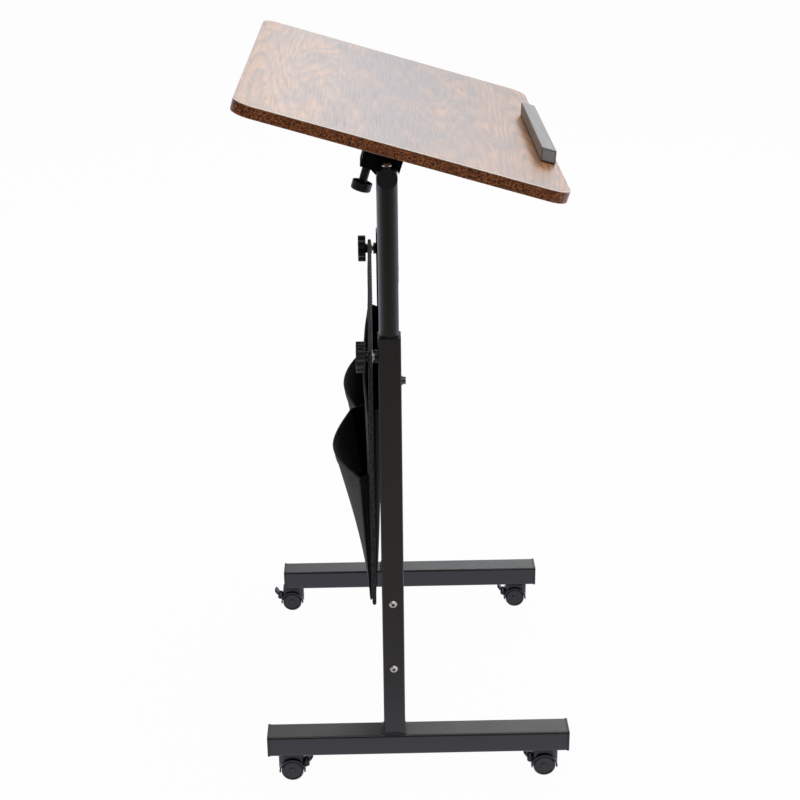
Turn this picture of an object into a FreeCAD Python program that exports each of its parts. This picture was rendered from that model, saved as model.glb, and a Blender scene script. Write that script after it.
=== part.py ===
import FreeCAD, Part
import os
import re
import Sketcher
from FreeCAD import Placement, Rotation, Vector

# Rolling laptop desk: a tilting top on two telescopic legs, with casters and a hanging bag.
# +X points to the user, +Y to the user's right, +Z up; the origin is on the floor under the
# middle of the feet. Lengths are in millimetres and angles in degrees.

SIZES = [
    # main sizes, which others follow
    ("top_width", 600, "desktop across the desk"),
    ("top_depth", 400, "desktop along the slope"),
    ("top_overhang", 68.2, "column axis to the side edge of the desktop"),
    ("leg_spacing", "=top_width - 2 * top_overhang", "column axis to column axis"),
    ("foot_length", 410, "feet from end to end"),
    ("foot_back", 173, "column axis to the back end of a foot"),
    ("foot_front", "=foot_length - foot_back", "column axis to the front end of a foot"),
    ("head_height", 840, "axis of the head tube over the floor"),
    ("column_length", 567.5, "square tube of a column"),
    # casters
    ("caster_height", 42.5, "floor to the underside of the feet"),
    ("caster_inset", 22, "end of a foot to the swivel axis"),
    ("caster_trail", 10.5, "swivel axis to the wheel axle"),
    ("wheel_dia", 30, "tread diameter"),
    ("wheel_width", 9.4, "width of one wheel"),
    ("wheel_rim", 2.4, "wall of the tread"),
    ("wheel_face", 2, "wall of the outer disc"),
    ("wheel_edge", 1.2, "bevel of the tread"),
    ("wheel_dish", 0.9, "dish in the outer disc"),
    ("hub_cover", 1.2, "outer disc over the end of the axle"),
    ("hub_dia", 9, "hub inside a wheel"),
    ("axle_dia", 4, "wheel axle"),
    ("web_width", 5, "web of the housing between the wheels"),
    ("web_gap", 0.7, "web to wheel, each side"),
    ("hood_gap", 0.8, "tread to hood"),
    ("hood_wall", 2.2, "wall of the hood"),
    ("hood_drop", 1, "lower edge of the hood under the axle"),
    ("hood_side", 0.5, "hood past the outer disc of a wheel"),
    ("boss_dia", 17, "swivel boss of the housing"),
    ("shoulder_length", 29, "block of the housing over the hood"),
    ("shoulder_width", 19, "that block across the wheels"),
    ("shoulder_round", 4, "corners of that block"),
    ("shoulder_gap", 1.2, "top of that block under the top of the boss"),
    ("stem_dia", 8, "caster stem"),
    ("stem_seat", 9, "stem inside the housing"),
    ("stem_grip", 20, "stem above the underside of the foot"),
    ("collar_dia", 16, "collar on the stem"),
    ("collar_thick", 3, "collar under the foot"),
    ("swivel_gap", 0.3, "collar to housing, and stem end to its seat"),
    ("web_dia", 15, "lower end of the web round the axle"),
    ("spin_fit", 0.05, "axle, stem and trunnions to their bores, all round"),
    ("lug_dia", 8, "lugs that hold the brake lever"),
    ("lug_width", 2.6, "one lug"),
    ("lug_angle", 22, "lever pivot above the axle, seen from the axle"),
    ("lug_reach", 3, "lever pivot outside the hood"),
    ("lever_width", 8.4, "knuckle of the brake lever"),
    ("knuckle_dia", 5.2, "knuckle of the brake lever"),
    ("paddle_width", 15, "paddle of the lever"),
    ("paddle_round", 2.5, "corners of the paddle"),
    ("lever_thick", 3, "paddle of the lever"),
    ("lever_length", 13.5, "pivot to the end of the paddle"),
    ("lever_rise", 55, "slope of the free lever"),
    ("lever_gap", 0.4, "lever to lugs"),
    ("pivot_dia", 2.4, "trunnions of the lever"),
    ("pivot_depth", 2, "trunnion inside its lug"),
    # tubes of the feet and columns
    ("foot_width", 35, "tube of a foot across the desk"),
    ("foot_tall", 30, "tube of a foot upwards"),
    ("foot_wall", 1.2, "wall of that tube"),
    ("foot_round", 3, "outer corner radius of that tube"),
    ("cap_thick", 3, "flange of a foot cap"),
    ("cap_proud", 0.6, "flange past the tube all round"),
    ("cap_edge", 0.8, "rounding of the flange"),
    ("cap_spigot", 11, "foot cap inside the tube"),
    ("cap_fit", 0.15, "spigot to tube, each side"),
    ("square_size", 28.6, "outer side of a column"),
    ("square_wall", 1.0, "wall of a column"),
    ("square_round", 2.4, "outer corner radius of a column"),
    # cross bars
    ("bar_size", 25, "outer side of a cross bar"),
    ("bar_wall", 1.2, "wall of a cross bar"),
    ("bar_round", 2, "outer corner radius of a cross bar"),
    ("bar_low", 176, "height of the lower cross bar"),
    ("bar_high", 274, "height of the upper cross bar"),
    ("insert_depth", 16, "threaded insert in a bar end"),
    ("bolt_dia", 6, "screws of the cross bars"),
    ("bolt_grip", 12, "screw inside the insert"),
    ("bolt_head", 10.4, "head of the screws"),
    ("bolt_dome", 3, "height of the head"),
    ("hole_play", 0.4, "screw to hole, all round"),
    # guide bushings
    ("bushing_flange", 2, "flange on top of a column"),
    ("bushing_depth", 20, "bushing inside a column"),
    ("bushing_fit", 0.1, "bushing to column, each side"),
    ("slide_fit", 0.06, "post to bushing, all round"),
    # head tube and posts
    ("tube_dia", 25, "head tube and posts"),
    ("tube_wall", 1.2, "wall of the round tubes"),
    ("head_past", 12.7, "head tube with its plugs past the axis of a post"),
    ("head_length", "=leg_spacing + 2 * head_past", "head tube with its plugs"),
    ("plug_thick", 2, "disc of a head tube plug"),
    ("plug_spigot", 6, "plug inside the head tube"),
    ("post_bolt_dia", 6, "bolt through the head tube into a post"),
    ("post_bolt_head", 11, "head of that bolt"),
    ("post_bolt_dome", 3.3, "height of that head"),
    ("post_bolt_grip", 10, "bolt inside the insert of the post"),
    ("post_insert", 14, "threaded insert in the top of a post"),
    ("post_length", 413, "head tube axis to the end of a post"),
    ("glide_thick", 10, "block of a glide under a post"),
    ("glide_spigot", 14, "glide inside the post"),
    ("glide_fit", 0.25, "glide to column, each side"),
    ("stop_height", 582, "stop screws over the floor"),
    ("stop_dia", 5, "stop screw"),
    ("stop_reach", 4, "stop screw inside the post's outer face"),
    ("stop_head", 9.5, "head of the stop screw"),
    ("stop_head_thick", 4, "head of the stop screw"),
    ("stop_washer", 12, "washer under the head"),
    ("washer_thick", 1.4, "washers"),
    ("slot_play", 1, "stop screw to slot, each side"),
    ("raise_travel", 135, "how far the head tube rises from here"),
    ("lower_travel", 125, "how far the head tube sinks from here"),
    # height knobs
    ("knob_height", 614, "knob stems over the floor"),
    ("knob_dia", 40, "over the lobes"),
    ("knob_thick", 11.5, "thickness at the lobes"),
    ("knob_lobes", 7, "number of lobes"),
    ("lobe_dia", 12.6, "one lobe"),
    ("lobe_fillet", 2.4, "hollow between two lobes"),
    ("knob_edge", 1.2, "rounding of the lobed outline"),
    ("dish_dia", 20, "dish in the face of the knob"),
    ("dish_depth", 1.5, "depth of the dish"),
    ("neck_dia", 14, "neck of the knob"),
    ("neck_length", 3, "neck of the knob"),
    ("screw_dia", 8, "threaded stem"),
    ("screw_grip", 8, "stem inside the knob"),
    ("screw_gap", 0.3, "end of the stem to the post"),
    ("nut_dia", 17, "weld nut on the back of a column"),
    ("nut_thick", 4, "weld nut"),
    ("knob_washer", 16, "washer behind the bag"),
    # bag
    ("panel_thick", 5, "stiff panel with its bound edge"),
    ("panel_gap", 3.2, "weld nut to panel"),
    ("neck_gap", 0.3, "panel to the neck of the knob"),
    ("panel_past", 10.2, "panel past the axis of a column"),
    ("panel_width", "=leg_spacing + 2 * panel_past", "across the desk"),
    ("panel_tall", 347, "from the upper hem to the lower seam"),
    ("eye_margin", 8, "knob stems to the upper hem"),
    ("panel_top", "=knob_height + eye_margin", "upper hem over the floor"),
    ("panel_bottom", "=panel_top - panel_tall", "lower seam over the floor"),
    ("panel_round", 12, "corner radius of the panel"),
    ("cloth", 1.6, "wall of a pocket"),
    ("sew_gap", 0.3, "pocket to what it is sewn on"),
    ("main_drop", 99, "mouth of the full-width pockets under the upper hem"),
    ("main_top", "=panel_top - main_drop", "the same over the floor"),
    ("main_margin", 4, "side edge of the panel to that of the pocket on its back"),
    ("main_width", "=panel_width - 2 * main_margin", "full-width pocket on the back"),
    ("main_mouth", 12, "depth of that pocket at its mouth"),
    ("main_foot", 4, "depth of that pocket at its seam"),
    ("user_mouth", 13, "depth of the pocket on the user's side"),
    ("user_foot", 4.4, "depth of that pocket at its seam"),
    ("user_margin", 6, "that pocket to a column"),
    ("small_drop", 172, "mouth of the half-width pockets under the upper hem"),
    ("small_top", "=panel_top - small_drop", "the same over the floor"),
    ("small_raise", 2, "their seam over that of the panel"),
    ("small_bottom", "=panel_bottom + small_raise", "the same over the floor"),
    ("small_middle", 2, "between the two"),
    ("small_margin", 3, "side edge of the full-width pocket to that of a half-width one"),
    ("small_width", "=(main_width - small_middle) / 2 - small_margin", "one half-width pocket"),
    ("left_bulge", 40, "left pocket stands out at its mouth"),
    ("right_bulge", 27, "right pocket stands out at its mouth"),
    ("small_foot", 8, "half-width pockets stand out at their seam"),
    ("mouth_inset", 8, "their hollow inside their side seams at the mouth"),
    ("seam_inset", 32, "their hollow inside their side seams at the bottom"),
    # desktop, in the frame of the clamps
    ("tilt", 16.5, "slope of the desktop towards the user"),
    ("saddle_rise", 37.5, "head tube axis to the underside of the desktop"),
    ("top_thick", 15, "particle board"),
    ("top_round", 25, "corner radius"),
    ("top_edge", 1.2, "edge rounding"),
    ("top_shift", 5, "middle of the desktop past the head tube"),
    ("stop_bar_length", 272, "across the desk"),
    ("stop_bar_width", 19, "along the slope"),
    ("stop_bar_tall", 16.4, "bar without its pad"),
    ("stop_bar_lean", 3.8, "top of the bar up the slope from its foot"),
    ("stop_bar_round", 1.4, "rounding of the bar"),
    ("stop_bar_rim", 1.6, "wall round the recess in an end"),
    ("stop_bar_recess", 1, "depth of that recess"),
    ("stop_bar_margin", 5.6, "bar to the low edge of the desktop"),
    ("stop_bar_shift", -28, "middle of the bar across the desk"),
    ("pad_thick", 1, "pad under the bar"),
    ("pad_inset", 0.8, "pad inside the outline of the bar"),
    ("bar_screw_dia", 4, "screws of the stop bar"),
    ("bar_screw_span", 200, "between the two screws"),
    ("bar_screw_depth", 9, "screw inside the bar"),
    ("bar_screw_head", 9, "head under the desktop"),
    ("bar_screw_dome", 2.2, "height of that head"),
    # tilt clamps
    ("clamp_width", 45, "clamp across the desk"),
    ("clamp_gap", 1.2, "clamp to the side of the post"),
    ("plate_length", 96, "base plate along the slope"),
    ("plate_width", 62, "base plate across the desk"),
    ("plate_thick", 2.5, "base plate"),
    ("plate_round", 6, "corners of the base plate"),
    ("saddle_back", 33.2, "head tube axis to the back face of the clamp"),
    ("saddle_front", 15.4, "head tube axis to the front face under the plate"),
    ("saddle_tip", 14.2, "head tube axis to the tip of the front wall"),
    ("tip_height", 2.8, "tip of the front wall over the axis"),
    ("seat_fit", 0.05, "clamp to head tube, all round"),
    ("relief_gap", 1.5, "head tube to the rims of the clamp"),
    ("relief_depth", 7, "depth of the rims"),
    ("split_height", 8, "underside of the saddle over the axis"),
    ("split_gap", 0.6, "saddle to jaw"),
    ("jaw_base", 0.2, "underside of the jaw below the axis"),
    ("jaw_lip", 5, "end of the jaw's lip below the axis"),
    ("lip_thick", 1.2, "end of the lip"),
    ("lip_slope", 8, "root of the lip behind its end"),
    ("clamp_bolt", 23.6, "head tube axis to the bolt"),
    ("clamp_bolt_dia", 6, "bolt"),
    ("clamp_bolt_top", 27, "upper end of the bolt over the axis"),
    ("bolt_fit", 0.06, "bolt to the bore of the saddle, all round"),
    ("hub_rise", 1.9, "hub of the knob under the jaw, below the axis"),
    ("cup_top", 22.4, "rim of the knob below the axis"),
    ("cup_base", 32.6, "base of the knob below the axis"),
    ("cup_dia", 24.6, "knob"),
    ("cup_wall", 2.2, "wall of the knob"),
    ("cup_floor", 3.2, "floor of the knob"),
    ("cup_edge", 1, "bevel of the base"),
    ("cup_hub", 10.4, "hub of the knob"),
    ("bolt_bite", 0.8, "bolt inside the floor of the cup"),
    ("wood_screw_dia", 4, "screws of the clamps"),
    ("wood_screw_depth", 11, "screw inside the desktop"),
    ("wood_screw_head", 8, "head of those screws"),
    ("wood_screw_dome", 2.4, "height of that head"),
    ("wood_screw_edge", 9, "screw to the edges of the base plate"),
]
NAMES = {name for name, size, meaning in SIZES}
X = Vector(1, 0, 0)
Y = Vector(0, 1, 0)
Z = Vector(0, 0, 1)
SIDES = {"left": -1, "right": 1}

doc = FreeCAD.newDocument("rolling_desk")
sheet = doc.addObject("Spreadsheet::Sheet", "Sizes")
for row, (name, size, meaning) in enumerate(SIZES, 1):
    sheet.set(f"A{row}", meaning)
    sheet.set(f"B{row}", str(size))
    sheet.setAlias(f"B{row}", name)
doc.recompute()

nodes = []


def formula(text):
    """A formula of sizes, with the sheet named before each of them."""
    return re.sub(r"[a-z]\w*", lambda word: f"Sizes.{word[0]}" if word[0] in NAMES else word[0], text)


def number(text):
    return float(sheet.evalExpression(formula(text)))


def bind(thing, **formulas):
    for name, text in formulas.items():
        thing.setExpression(name, formula(text))
    return thing


def put(thing, x="0", y="0", z="0", axis=Z, turn="0"):
    """Places a thing by formulas, turned about one axis."""
    thing.Placement = Placement(Vector(), Rotation(axis, number(turn)))
    for name, text in (("Base.x", x), ("Base.y", y), ("Base.z", z), ("Rotation.Angle", turn)):
        thing.setExpression("Placement." + name, formula(text))
    return thing


def node(label, thing):
    thing.Label = label
    nodes.append(thing)
    return thing


def box(x, y, z):
    """A block between two formulas on each axis."""
    thing = doc.addObject("Part::Box", "block")
    spans = {side: f"({b}) - ({a})" for side, (a, b) in zip(("Length", "Width", "Height"), (x, y, z))}
    return put(bind(thing, **spans), x[0], y[0], z[0])


def rod(axis, dia, start, end, u="0", v="0"):
    """A round bar along an axis from start to end; u and v are its other two places, in order."""
    thing = doc.addObject("Part::Cylinder", "rod")
    bind(thing, Radius=f"({dia}) / 2", Height=f"({end}) - ({start})")
    if axis == "x":
        return put(thing, start, u, v, Y, "90")
    if axis == "y":
        return put(thing, u, start, v, X, "-90")
    return put(thing, u, v, start)


def fuse(*things):
    joined = doc.addObject("Part::MultiFuse", "fuse")
    joined.Shapes = things
    return joined


def cut(base, *tools):
    result = doc.addObject("Part::Cut", "cut")
    result.Base = base
    result.Tool = tools[0] if len(tools) == 1 else fuse(*tools)
    return result


def group(*things):
    """Like pieces that share one node, each a solid of its own."""
    together = doc.addObject("Part::Compound", "group")
    together.Links = things
    return together


def new_body(name):
    return doc.addObject("PartDesign::Body", name)


def new_sketch(body, plane, level="0"):
    """A sketch on one of the body's own planes, lifted off it by a formula."""
    sketch = body.newObject("Sketcher::SketchObject", "outline")
    planes = {feature.Role: feature for feature in body.Origin.OriginFeatures}
    sketch.AttachmentSupport = [(planes[plane + "_Plane"], "")]
    sketch.MapMode = "FlatFace"
    sketch.setExpression("AttachmentOffset.Base.z", formula(level))
    return sketch


def fix_point(sketch, edge, end, across, up):
    """Holds one end of an edge at two formulas from the origin of the sketch."""
    for axis, text in (("X", across), ("Y", up)):
        rule = Sketcher.Constraint("Distance" + axis, -1, 1, edge, end, number(text))
        sketch.setExpression(f"Constraints[{sketch.addConstraint(rule)}]", formula(text))


def draw_outline(sketch, corners):
    """A closed outline of straight edges through corners given as pairs of formulas."""
    points = [Vector(number(across), number(up), 0) for across, up in corners]
    following = points[1:] + points[:1]
    for start, end in zip(points, following):
        sketch.addGeometry(Part.LineSegment(start, end))
    for edge, (across, up) in enumerate(corners):
        after = (edge + 1) % len(corners)
        sketch.addConstraint(Sketcher.Constraint("Coincident", edge, 2, after, 1))
        fix_point(sketch, edge, 1, across, up)


def draw_circle(sketch, dia, across="0", up="0"):
    centre = Vector(number(across), number(up), 0)
    edge = sketch.addGeometry(Part.Circle(centre, Z, number(dia) / 2))
    fix_point(sketch, edge, 3, across, up)
    rule = Sketcher.Constraint("Diameter", edge, number(dia))
    sketch.setExpression(f"Constraints[{sketch.addConstraint(rule)}]", formula(dia))


def draw_bow(sketch, back, first, last, bulge):
    """A straight back edge at x = back from y = first to y = last, and an arc that bulges to -x."""
    x, y0, y1, depth = (number(text) for text in (back, first, last, bulge))
    start = Vector(x, y0, 0)
    end = Vector(x, y1, 0)
    sketch.addGeometry(Part.LineSegment(start, end))
    sketch.addGeometry(Part.Arc(end, Vector(x - depth, (y0 + y1) / 2, 0), start))
    fix_point(sketch, 0, 1, back, first)
    fix_point(sketch, 0, 2, back, last)
    low, high = (2, 1) if sketch.Geometry[1].StartPoint.y > sketch.Geometry[1].EndPoint.y else (1, 2)
    sketch.addConstraint(Sketcher.Constraint("Coincident", 1, low, 0, 1))
    sketch.addConstraint(Sketcher.Constraint("Coincident", 1, high, 0, 2))
    half = f"(({last}) - ({first})) / 2"
    radius = f"(({half})^2 + ({bulge})^2) / (2 * ({bulge}))"
    rule = Sketcher.Constraint("Radius", 1, number(radius))
    sketch.setExpression(f"Constraints[{sketch.addConstraint(rule)}]", formula(radius))


def pad(body, sketch, length, both_ways=False):
    feature = body.newObject("PartDesign::Pad", "pad")
    feature.Profile = sketch
    if both_ways:
        feature.SideType = "Symmetric"
    bind(feature, Length=length)
    doc.recompute()
    return feature


def round_off(body, base, radius, chosen):
    """Fillets the edges of the last feature that a test picks."""
    names = [f"Edge{i}" for i, edge in enumerate(base.Shape.Edges, 1) if chosen(edge)]
    feature = body.newObject("PartDesign::Fillet", "rounding")
    feature.Base = (base, names)
    bind(feature, Radius=radius)
    doc.recompute()
    return feature


def runs_along(axis):
    """A test for straight edges along an axis."""
    def test(edge):
        if edge.Curve.TypeId != "Part::GeomLine":
            return False
        return abs(edge.tangentAt(edge.FirstParameter).dot(axis)) > 0.999
    return test


def lies_flat(edge):
    """A test for edges in a level plane."""
    return edge.BoundBox.ZLength < 1e-4


def prism(name, plane, corners, length, level="0", both_ways=False):
    body = new_body(name)
    sketch = new_sketch(body, plane, level)
    draw_outline(sketch, corners)
    pad(body, sketch, length, both_ways)
    return body


def turned(name, plane, corners, axis):
    """A body of revolution about the first ("H_Axis") or second ("V_Axis") axis of its sketch."""
    body = new_body(name)
    sketch = new_sketch(body, plane)
    draw_outline(sketch, corners)
    feature = body.newObject("PartDesign::Revolution", "turn")
    feature.Profile = sketch
    feature.ReferenceAxis = (sketch, [axis])
    feature.Angle = 360
    doc.recompute()
    return body


def spread(body, feature, sketch, count):
    """Repeats a feature round the axis through the origin of its sketch."""
    pattern = body.newObject("PartDesign::PolarPattern", "ring")
    pattern.Originals = [feature]
    pattern.Axis = (sketch, ["N_Axis"])
    pattern.Angle = 360
    bind(pattern, Occurrences=count)
    body.Tip = pattern
    doc.recompute()
    return pattern


def rounded_bar(name, plane, wide, tall, length, radius, level="0", both_ways=False):
    """A bar of rectangular section with rounded long edges."""
    along = {"XY": Z, "YZ": X, "XZ": Y}[plane]
    x = f"({wide}) / 2"
    y = f"({tall}) / 2"
    body = new_body(name)
    sketch = new_sketch(body, plane, level)
    draw_outline(sketch, [(f"-{x}", f"-{y}"), (x, f"-{y}"), (x, y), (f"-{x}", y)])
    feature = pad(body, sketch, length, both_ways)
    round_off(body, feature, radius, runs_along(along))
    return body


def box_tube(name, plane, wide, tall, wall, length, radius, both_ways=False):
    """Such a bar hollowed from end to end."""
    along = {"XY": Z, "YZ": X, "XZ": Y}[plane]
    body = rounded_bar(name, plane, wide, tall, length, radius, both_ways=both_ways)
    solid = body.Tip
    ends = []
    for i, face in enumerate(solid.Shape.Faces, 1):
        if abs(face.normalAt(0, 0).dot(along)) > 0.999:
            ends.append(f"Face{i}")
    feature = body.newObject("PartDesign::Thickness", "hollow")
    feature.Base = (solid, ends)
    feature.Reversed = True
    bind(feature, Value=wall)
    doc.recompute()
    return body


# Places that several pieces share. The casters' levers reach furthest back, so the middle of the
# whole depth lies between them and the front ends of the feet.
hood_out = "(wheel_dia + 2 * hood_gap + 2 * hood_wall)"
pivot_radius = f"({hood_out} / 2 + lug_reach)"
pivot_x = f"(caster_trail + {pivot_radius} * cos(lug_angle))"
lever_tip = f"({pivot_x} + lever_length * cos(lever_rise) + lever_thick / 2 * sin(lever_rise))"
column_x = f"((max(foot_back; foot_back - caster_inset + {lever_tip}) - foot_front) / 2)"
foot_middle = "(caster_height + foot_tall / 2)"
foot_top = "(caster_height + foot_tall)"
column_top = "(caster_height + foot_tall + column_length)"
tube_inside = "(tube_dia - 2 * tube_wall)"
square_inside = "(square_size - 2 * square_wall)"
inner_round = "(square_round - square_wall)"
column_face = "(square_size / 2)"


def leg_y(sign):
    return f"{sign} * leg_spacing / 2"


def at_column(thing, sign, z="0"):
    """Places a piece modelled about a column's axis."""
    return put(thing, column_x, leg_y(sign), z)


# Feet: rectangular tubes with a cap in each end, holed for the caster stems
foot_tube_length = "foot_length - 2 * cap_thick"
for side, sign in SIDES.items():
    tube = box_tube(
        "foot_tube", "YZ", "foot_width", "foot_tall", "foot_wall", foot_tube_length, "foot_round"
    )
    put(tube, "cap_thick - foot_back")
    holes = []
    for place in ("caster_inset - foot_back", "foot_front - caster_inset"):
        holes.append(rod("z", "stem_dia", "-foot_tall", "0", place))
    foot = node(f"foot_{side}", cut(tube, *holes))
    at_column(foot, sign, foot_middle)


def lies_outside(edge):
    """A test for the edges of a cap's outer face."""
    return edge.BoundBox.XMax < 1e-4


caps = []
for sign in SIDES.values():
    for end, turn in (("-foot_back", "0"), ("foot_front", "180")):
        flange_wide = "foot_width + 2 * cap_proud"
        flange_tall = "foot_tall + 2 * cap_proud"
        flange = rounded_bar("cap_flange", "YZ", flange_wide, flange_tall, "cap_thick", "foot_round")
        round_off(flange, flange.Tip, "cap_edge", lies_outside)
        spigot_wide = "foot_width - 2 * foot_wall - 2 * cap_fit"
        spigot_tall = "foot_tall - 2 * foot_wall - 2 * cap_fit"
        spigot_round = "foot_round - foot_wall"
        spigot = rounded_bar(
            "cap_spigot", "YZ", spigot_wide, spigot_tall, "cap_spigot", spigot_round, "cap_thick"
        )
        cap = fuse(flange, spigot)
        caps.append(put(cap, f"{column_x} + {end}", leg_y(sign), foot_middle, Z, turn))
node("foot_caps", group(*caps))

# Columns: square tubes that stand on the feet, holed for the screws and the height knobs
for side, sign in SIDES.items():
    tube = box_tube(
        "column_tube", "XY", "square_size", "square_size", "square_wall", "column_length", "square_round"
    )
    put(tube, z=foot_top)
    outer = "square_size"
    holes = [
        rod("x", "screw_dia + 2 * hole_play", f"-{outer}", "0", v="knob_height"),
        rod("x", "stop_dia + 2 * hole_play", "0", outer, v="stop_height"),
    ]
    for level in ("bar_low", "bar_high"):
        holes.append(rod("y", "bolt_dia + 2 * hole_play", f"-{outer}", outer, v=level))
    at_column(node(f"column_{side}", cut(tube, *holes)), sign)

# Guide bushings: square outside, round inside, with a flange on the column's end
for side, sign in SIDES.items():
    flange = rounded_bar(
        "flange", "XY", "square_size", "square_size", "bushing_flange", "square_round", column_top
    )
    sleeve_side = f"{square_inside} - 2 * bushing_fit"
    sleeve = rounded_bar(
        "sleeve",
        "XY",
        sleeve_side,
        sleeve_side,
        "bushing_depth",
        inner_round,
        f"{column_top} - bushing_depth",
    )
    bore_end = f"{column_top} + bushing_flange"
    bore = rod("z", "tube_dia + 2 * slide_fit", f"{column_top} - bushing_depth", bore_end)
    at_column(node(f"guide_bushing_{side}", cut(fuse(flange, sleeve), bore)), sign)

# Cross bars between the columns, with a threaded insert in each end and one screw through each column
bar_length = "leg_spacing - square_size"
inserts = []
bolts = []
for label, level in (("lower_cross_bar", "bar_low"), ("upper_cross_bar", "bar_high")):
    bar = box_tube("bar", "XZ", "bar_size", "bar_size", "bar_wall", bar_length, "bar_round", both_ways=True)
    put(node(label, bar), column_x, "0", level)
    for sign in SIDES.values():
        side = "bar_size - 2 * bar_wall"
        block = rounded_bar(
            "insert", "XZ", side, side, "insert_depth", "bar_round - bar_wall", both_ways=True
        )
        threaded = cut(block, rod("y", "bolt_dia", "-insert_depth", "insert_depth"))
        put(threaded, column_x, f"{sign} * ({bar_length} - insert_depth) / 2", level)
        inserts.append(threaded)
        reach = f"({bar_length}) / 2 - bolt_grip"
        seat = "(leg_spacing + square_size) / 2"
        head_top = f"{seat} + bolt_dome"
        profile = [
            ("0", reach),
            ("bolt_dia / 2", reach),
            ("bolt_dia / 2", seat),
            ("bolt_head / 2", seat),
            ("bolt_head / 2", f"{seat} + bolt_dome / 3"),
            ("bolt_head / 3", head_top),
            ("0", head_top),
        ]
        bolt = turned("bar_bolt", "XY", profile, "V_Axis")
        bolts.append(put(bolt, column_x, "0", level, Z, "180" if sign < 0 else "0"))
node("cross_bar_inserts", group(*inserts))
node("cross_bar_screws", group(*bolts))

# Stop screws: each passes the column's front wall and ends in the slot of the post
stops = []
for sign in SIDES.values():
    tip = "tube_dia / 2 - stop_reach"
    seat = f"{column_face} + washer_thick"
    screw = fuse(
        rod("x", "stop_dia", tip, seat),
        rod("x", "stop_washer", column_face, seat),
        rod("x", "stop_head", seat, f"{seat} + stop_head_thick"),
    )
    stops.append(at_column(screw, sign, "stop_height"))
node("stop_screws", group(*stops))

# Weld nuts on the backs of the columns carry the threaded stems of the height knobs
nut_back = "(square_size / 2 + nut_thick)"
panel_front = "(square_size / 2 + nut_thick + panel_gap)"
panel_back = "(square_size / 2 + nut_thick + panel_gap + panel_thick)"
nuts = []
washers = []
for sign in SIDES.values():
    blank = rod("x", "nut_dia", f"-{nut_back}", f"-{column_face}")
    nut = cut(blank, rod("x", "screw_dia + 2 * bolt_fit", f"-{nut_back}", f"-{column_face}"))
    nuts.append(at_column(nut, sign, "knob_height"))
    near = f"-{panel_front}"
    ring = rod("x", "knob_washer", near, f"{near} + washer_thick")
    hole = rod("x", "screw_dia + 2 * hole_play", near, f"{near} + washer_thick")
    washers.append(at_column(cut(ring, hole), sign, "knob_height"))
node("weld_nuts", group(*nuts))
node("bag_washers", group(*washers))

# Height knobs: a lobed grip moulded on a threaded stem that presses on the post
lobe_ring = "(knob_dia - lobe_dia) / 2"
knob_seat = f"({panel_back} + neck_gap)"
for side, sign in SIDES.items():
    body = new_body("grip")
    core = new_sketch(body, "YZ")
    draw_circle(core, "knob_dia - lobe_dia")
    pad(body, core, "knob_thick")
    outline = new_sketch(body, "YZ")
    draw_circle(outline, "lobe_dia", "0", lobe_ring)
    lobe = pad(body, outline, "knob_thick")
    lobes = spread(body, lobe, outline, "knob_lobes")
    hollows = round_off(body, lobes, "lobe_fillet", runs_along(X))
    round_off(body, hollows, "knob_edge", lambda edge: edge.BoundBox.XLength < 1e-4)
    neck_end = "knob_thick + neck_length"
    neck = rod("x", "neck_dia", "knob_thick", neck_end)
    socket = rod("x", "screw_dia", f"{neck_end} - screw_grip", neck_end)
    dish = rod("x", "dish_dia", "0", "dish_depth")
    grip = node(f"height_knob_{side}", cut(fuse(body, neck), socket, dish))
    at_column(grip, sign, "knob_height")
    grip.setExpression("Placement.Base.x", formula(f"{column_x} - {knob_seat} - neck_length - knob_thick"))
    stem = rod("x", "screw_dia", f"-{knob_seat} - screw_grip", "-tube_dia / 2 - screw_gap")
    stem.setExpression("Placement.Base.x", formula(f"{column_x} - {knob_seat} - screw_grip"))
    bind(stem, **{"Placement.Base.y": leg_y(sign), "Placement.Base.z": "knob_height"})
    node(f"height_screw_{side}", stem)

# Head tube on the coped tops of the posts, bolted to a threaded insert in each, with plugs in its ends
head_tube_end = "(head_length / 2 - plug_thick)"
head_outer = rod("y", "tube_dia", f"-{head_tube_end}", head_tube_end)
head_inner = rod("y", tube_inside, f"-{head_tube_end}", head_tube_end)
insert_top = "(-tube_dia / 2 - swivel_gap)"
bolt_holes = []
post_bolts = []
post_inserts = []
for sign in SIDES.values():
    hole_dia = "post_bolt_dia + 2 * hole_play"
    bolt_holes.append(rod("z", hole_dia, "-tube_dia", "tube_dia", "0", leg_y(sign)))
    shank_end = f"{insert_top} - post_bolt_grip"
    crest = "tube_dia / 2"
    head_top = f"{crest} + post_bolt_dome"
    profile = [
        ("0", shank_end),
        ("post_bolt_dia / 2", shank_end),
        ("post_bolt_dia / 2", crest),
        ("post_bolt_head / 2", crest),
        ("post_bolt_head / 2", f"{crest} + post_bolt_dome / 2"),
        ("post_bolt_head / 3", head_top),
        ("0", head_top),
    ]
    post_bolts.append(at_column(turned("post_bolt", "XZ", profile, "V_Axis"), sign, "head_height"))
    blank = rod("z", tube_inside, f"{insert_top} - post_insert", insert_top)
    thread = rod("z", "post_bolt_dia", f"{insert_top} - post_insert", insert_top)
    post_inserts.append(at_column(cut(blank, thread), sign, "head_height"))
put(node("head_tube", cut(head_outer, head_inner, *bolt_holes)), column_x, "0", "head_height")
node("post_bolts", group(*post_bolts))
node("post_inserts", group(*post_inserts))

plugs = []
for sign in SIDES.values():
    disc = rod("y", "tube_dia", head_tube_end, "head_length / 2")
    spigot = rod("y", tube_inside, f"{head_tube_end} - plug_spigot", head_tube_end)
    plug = fuse(disc, spigot)
    plugs.append(put(plug, column_x, "0", "head_height", Z, "180" if sign < 0 else "0"))
node("head_tube_plugs", group(*plugs))

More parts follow.
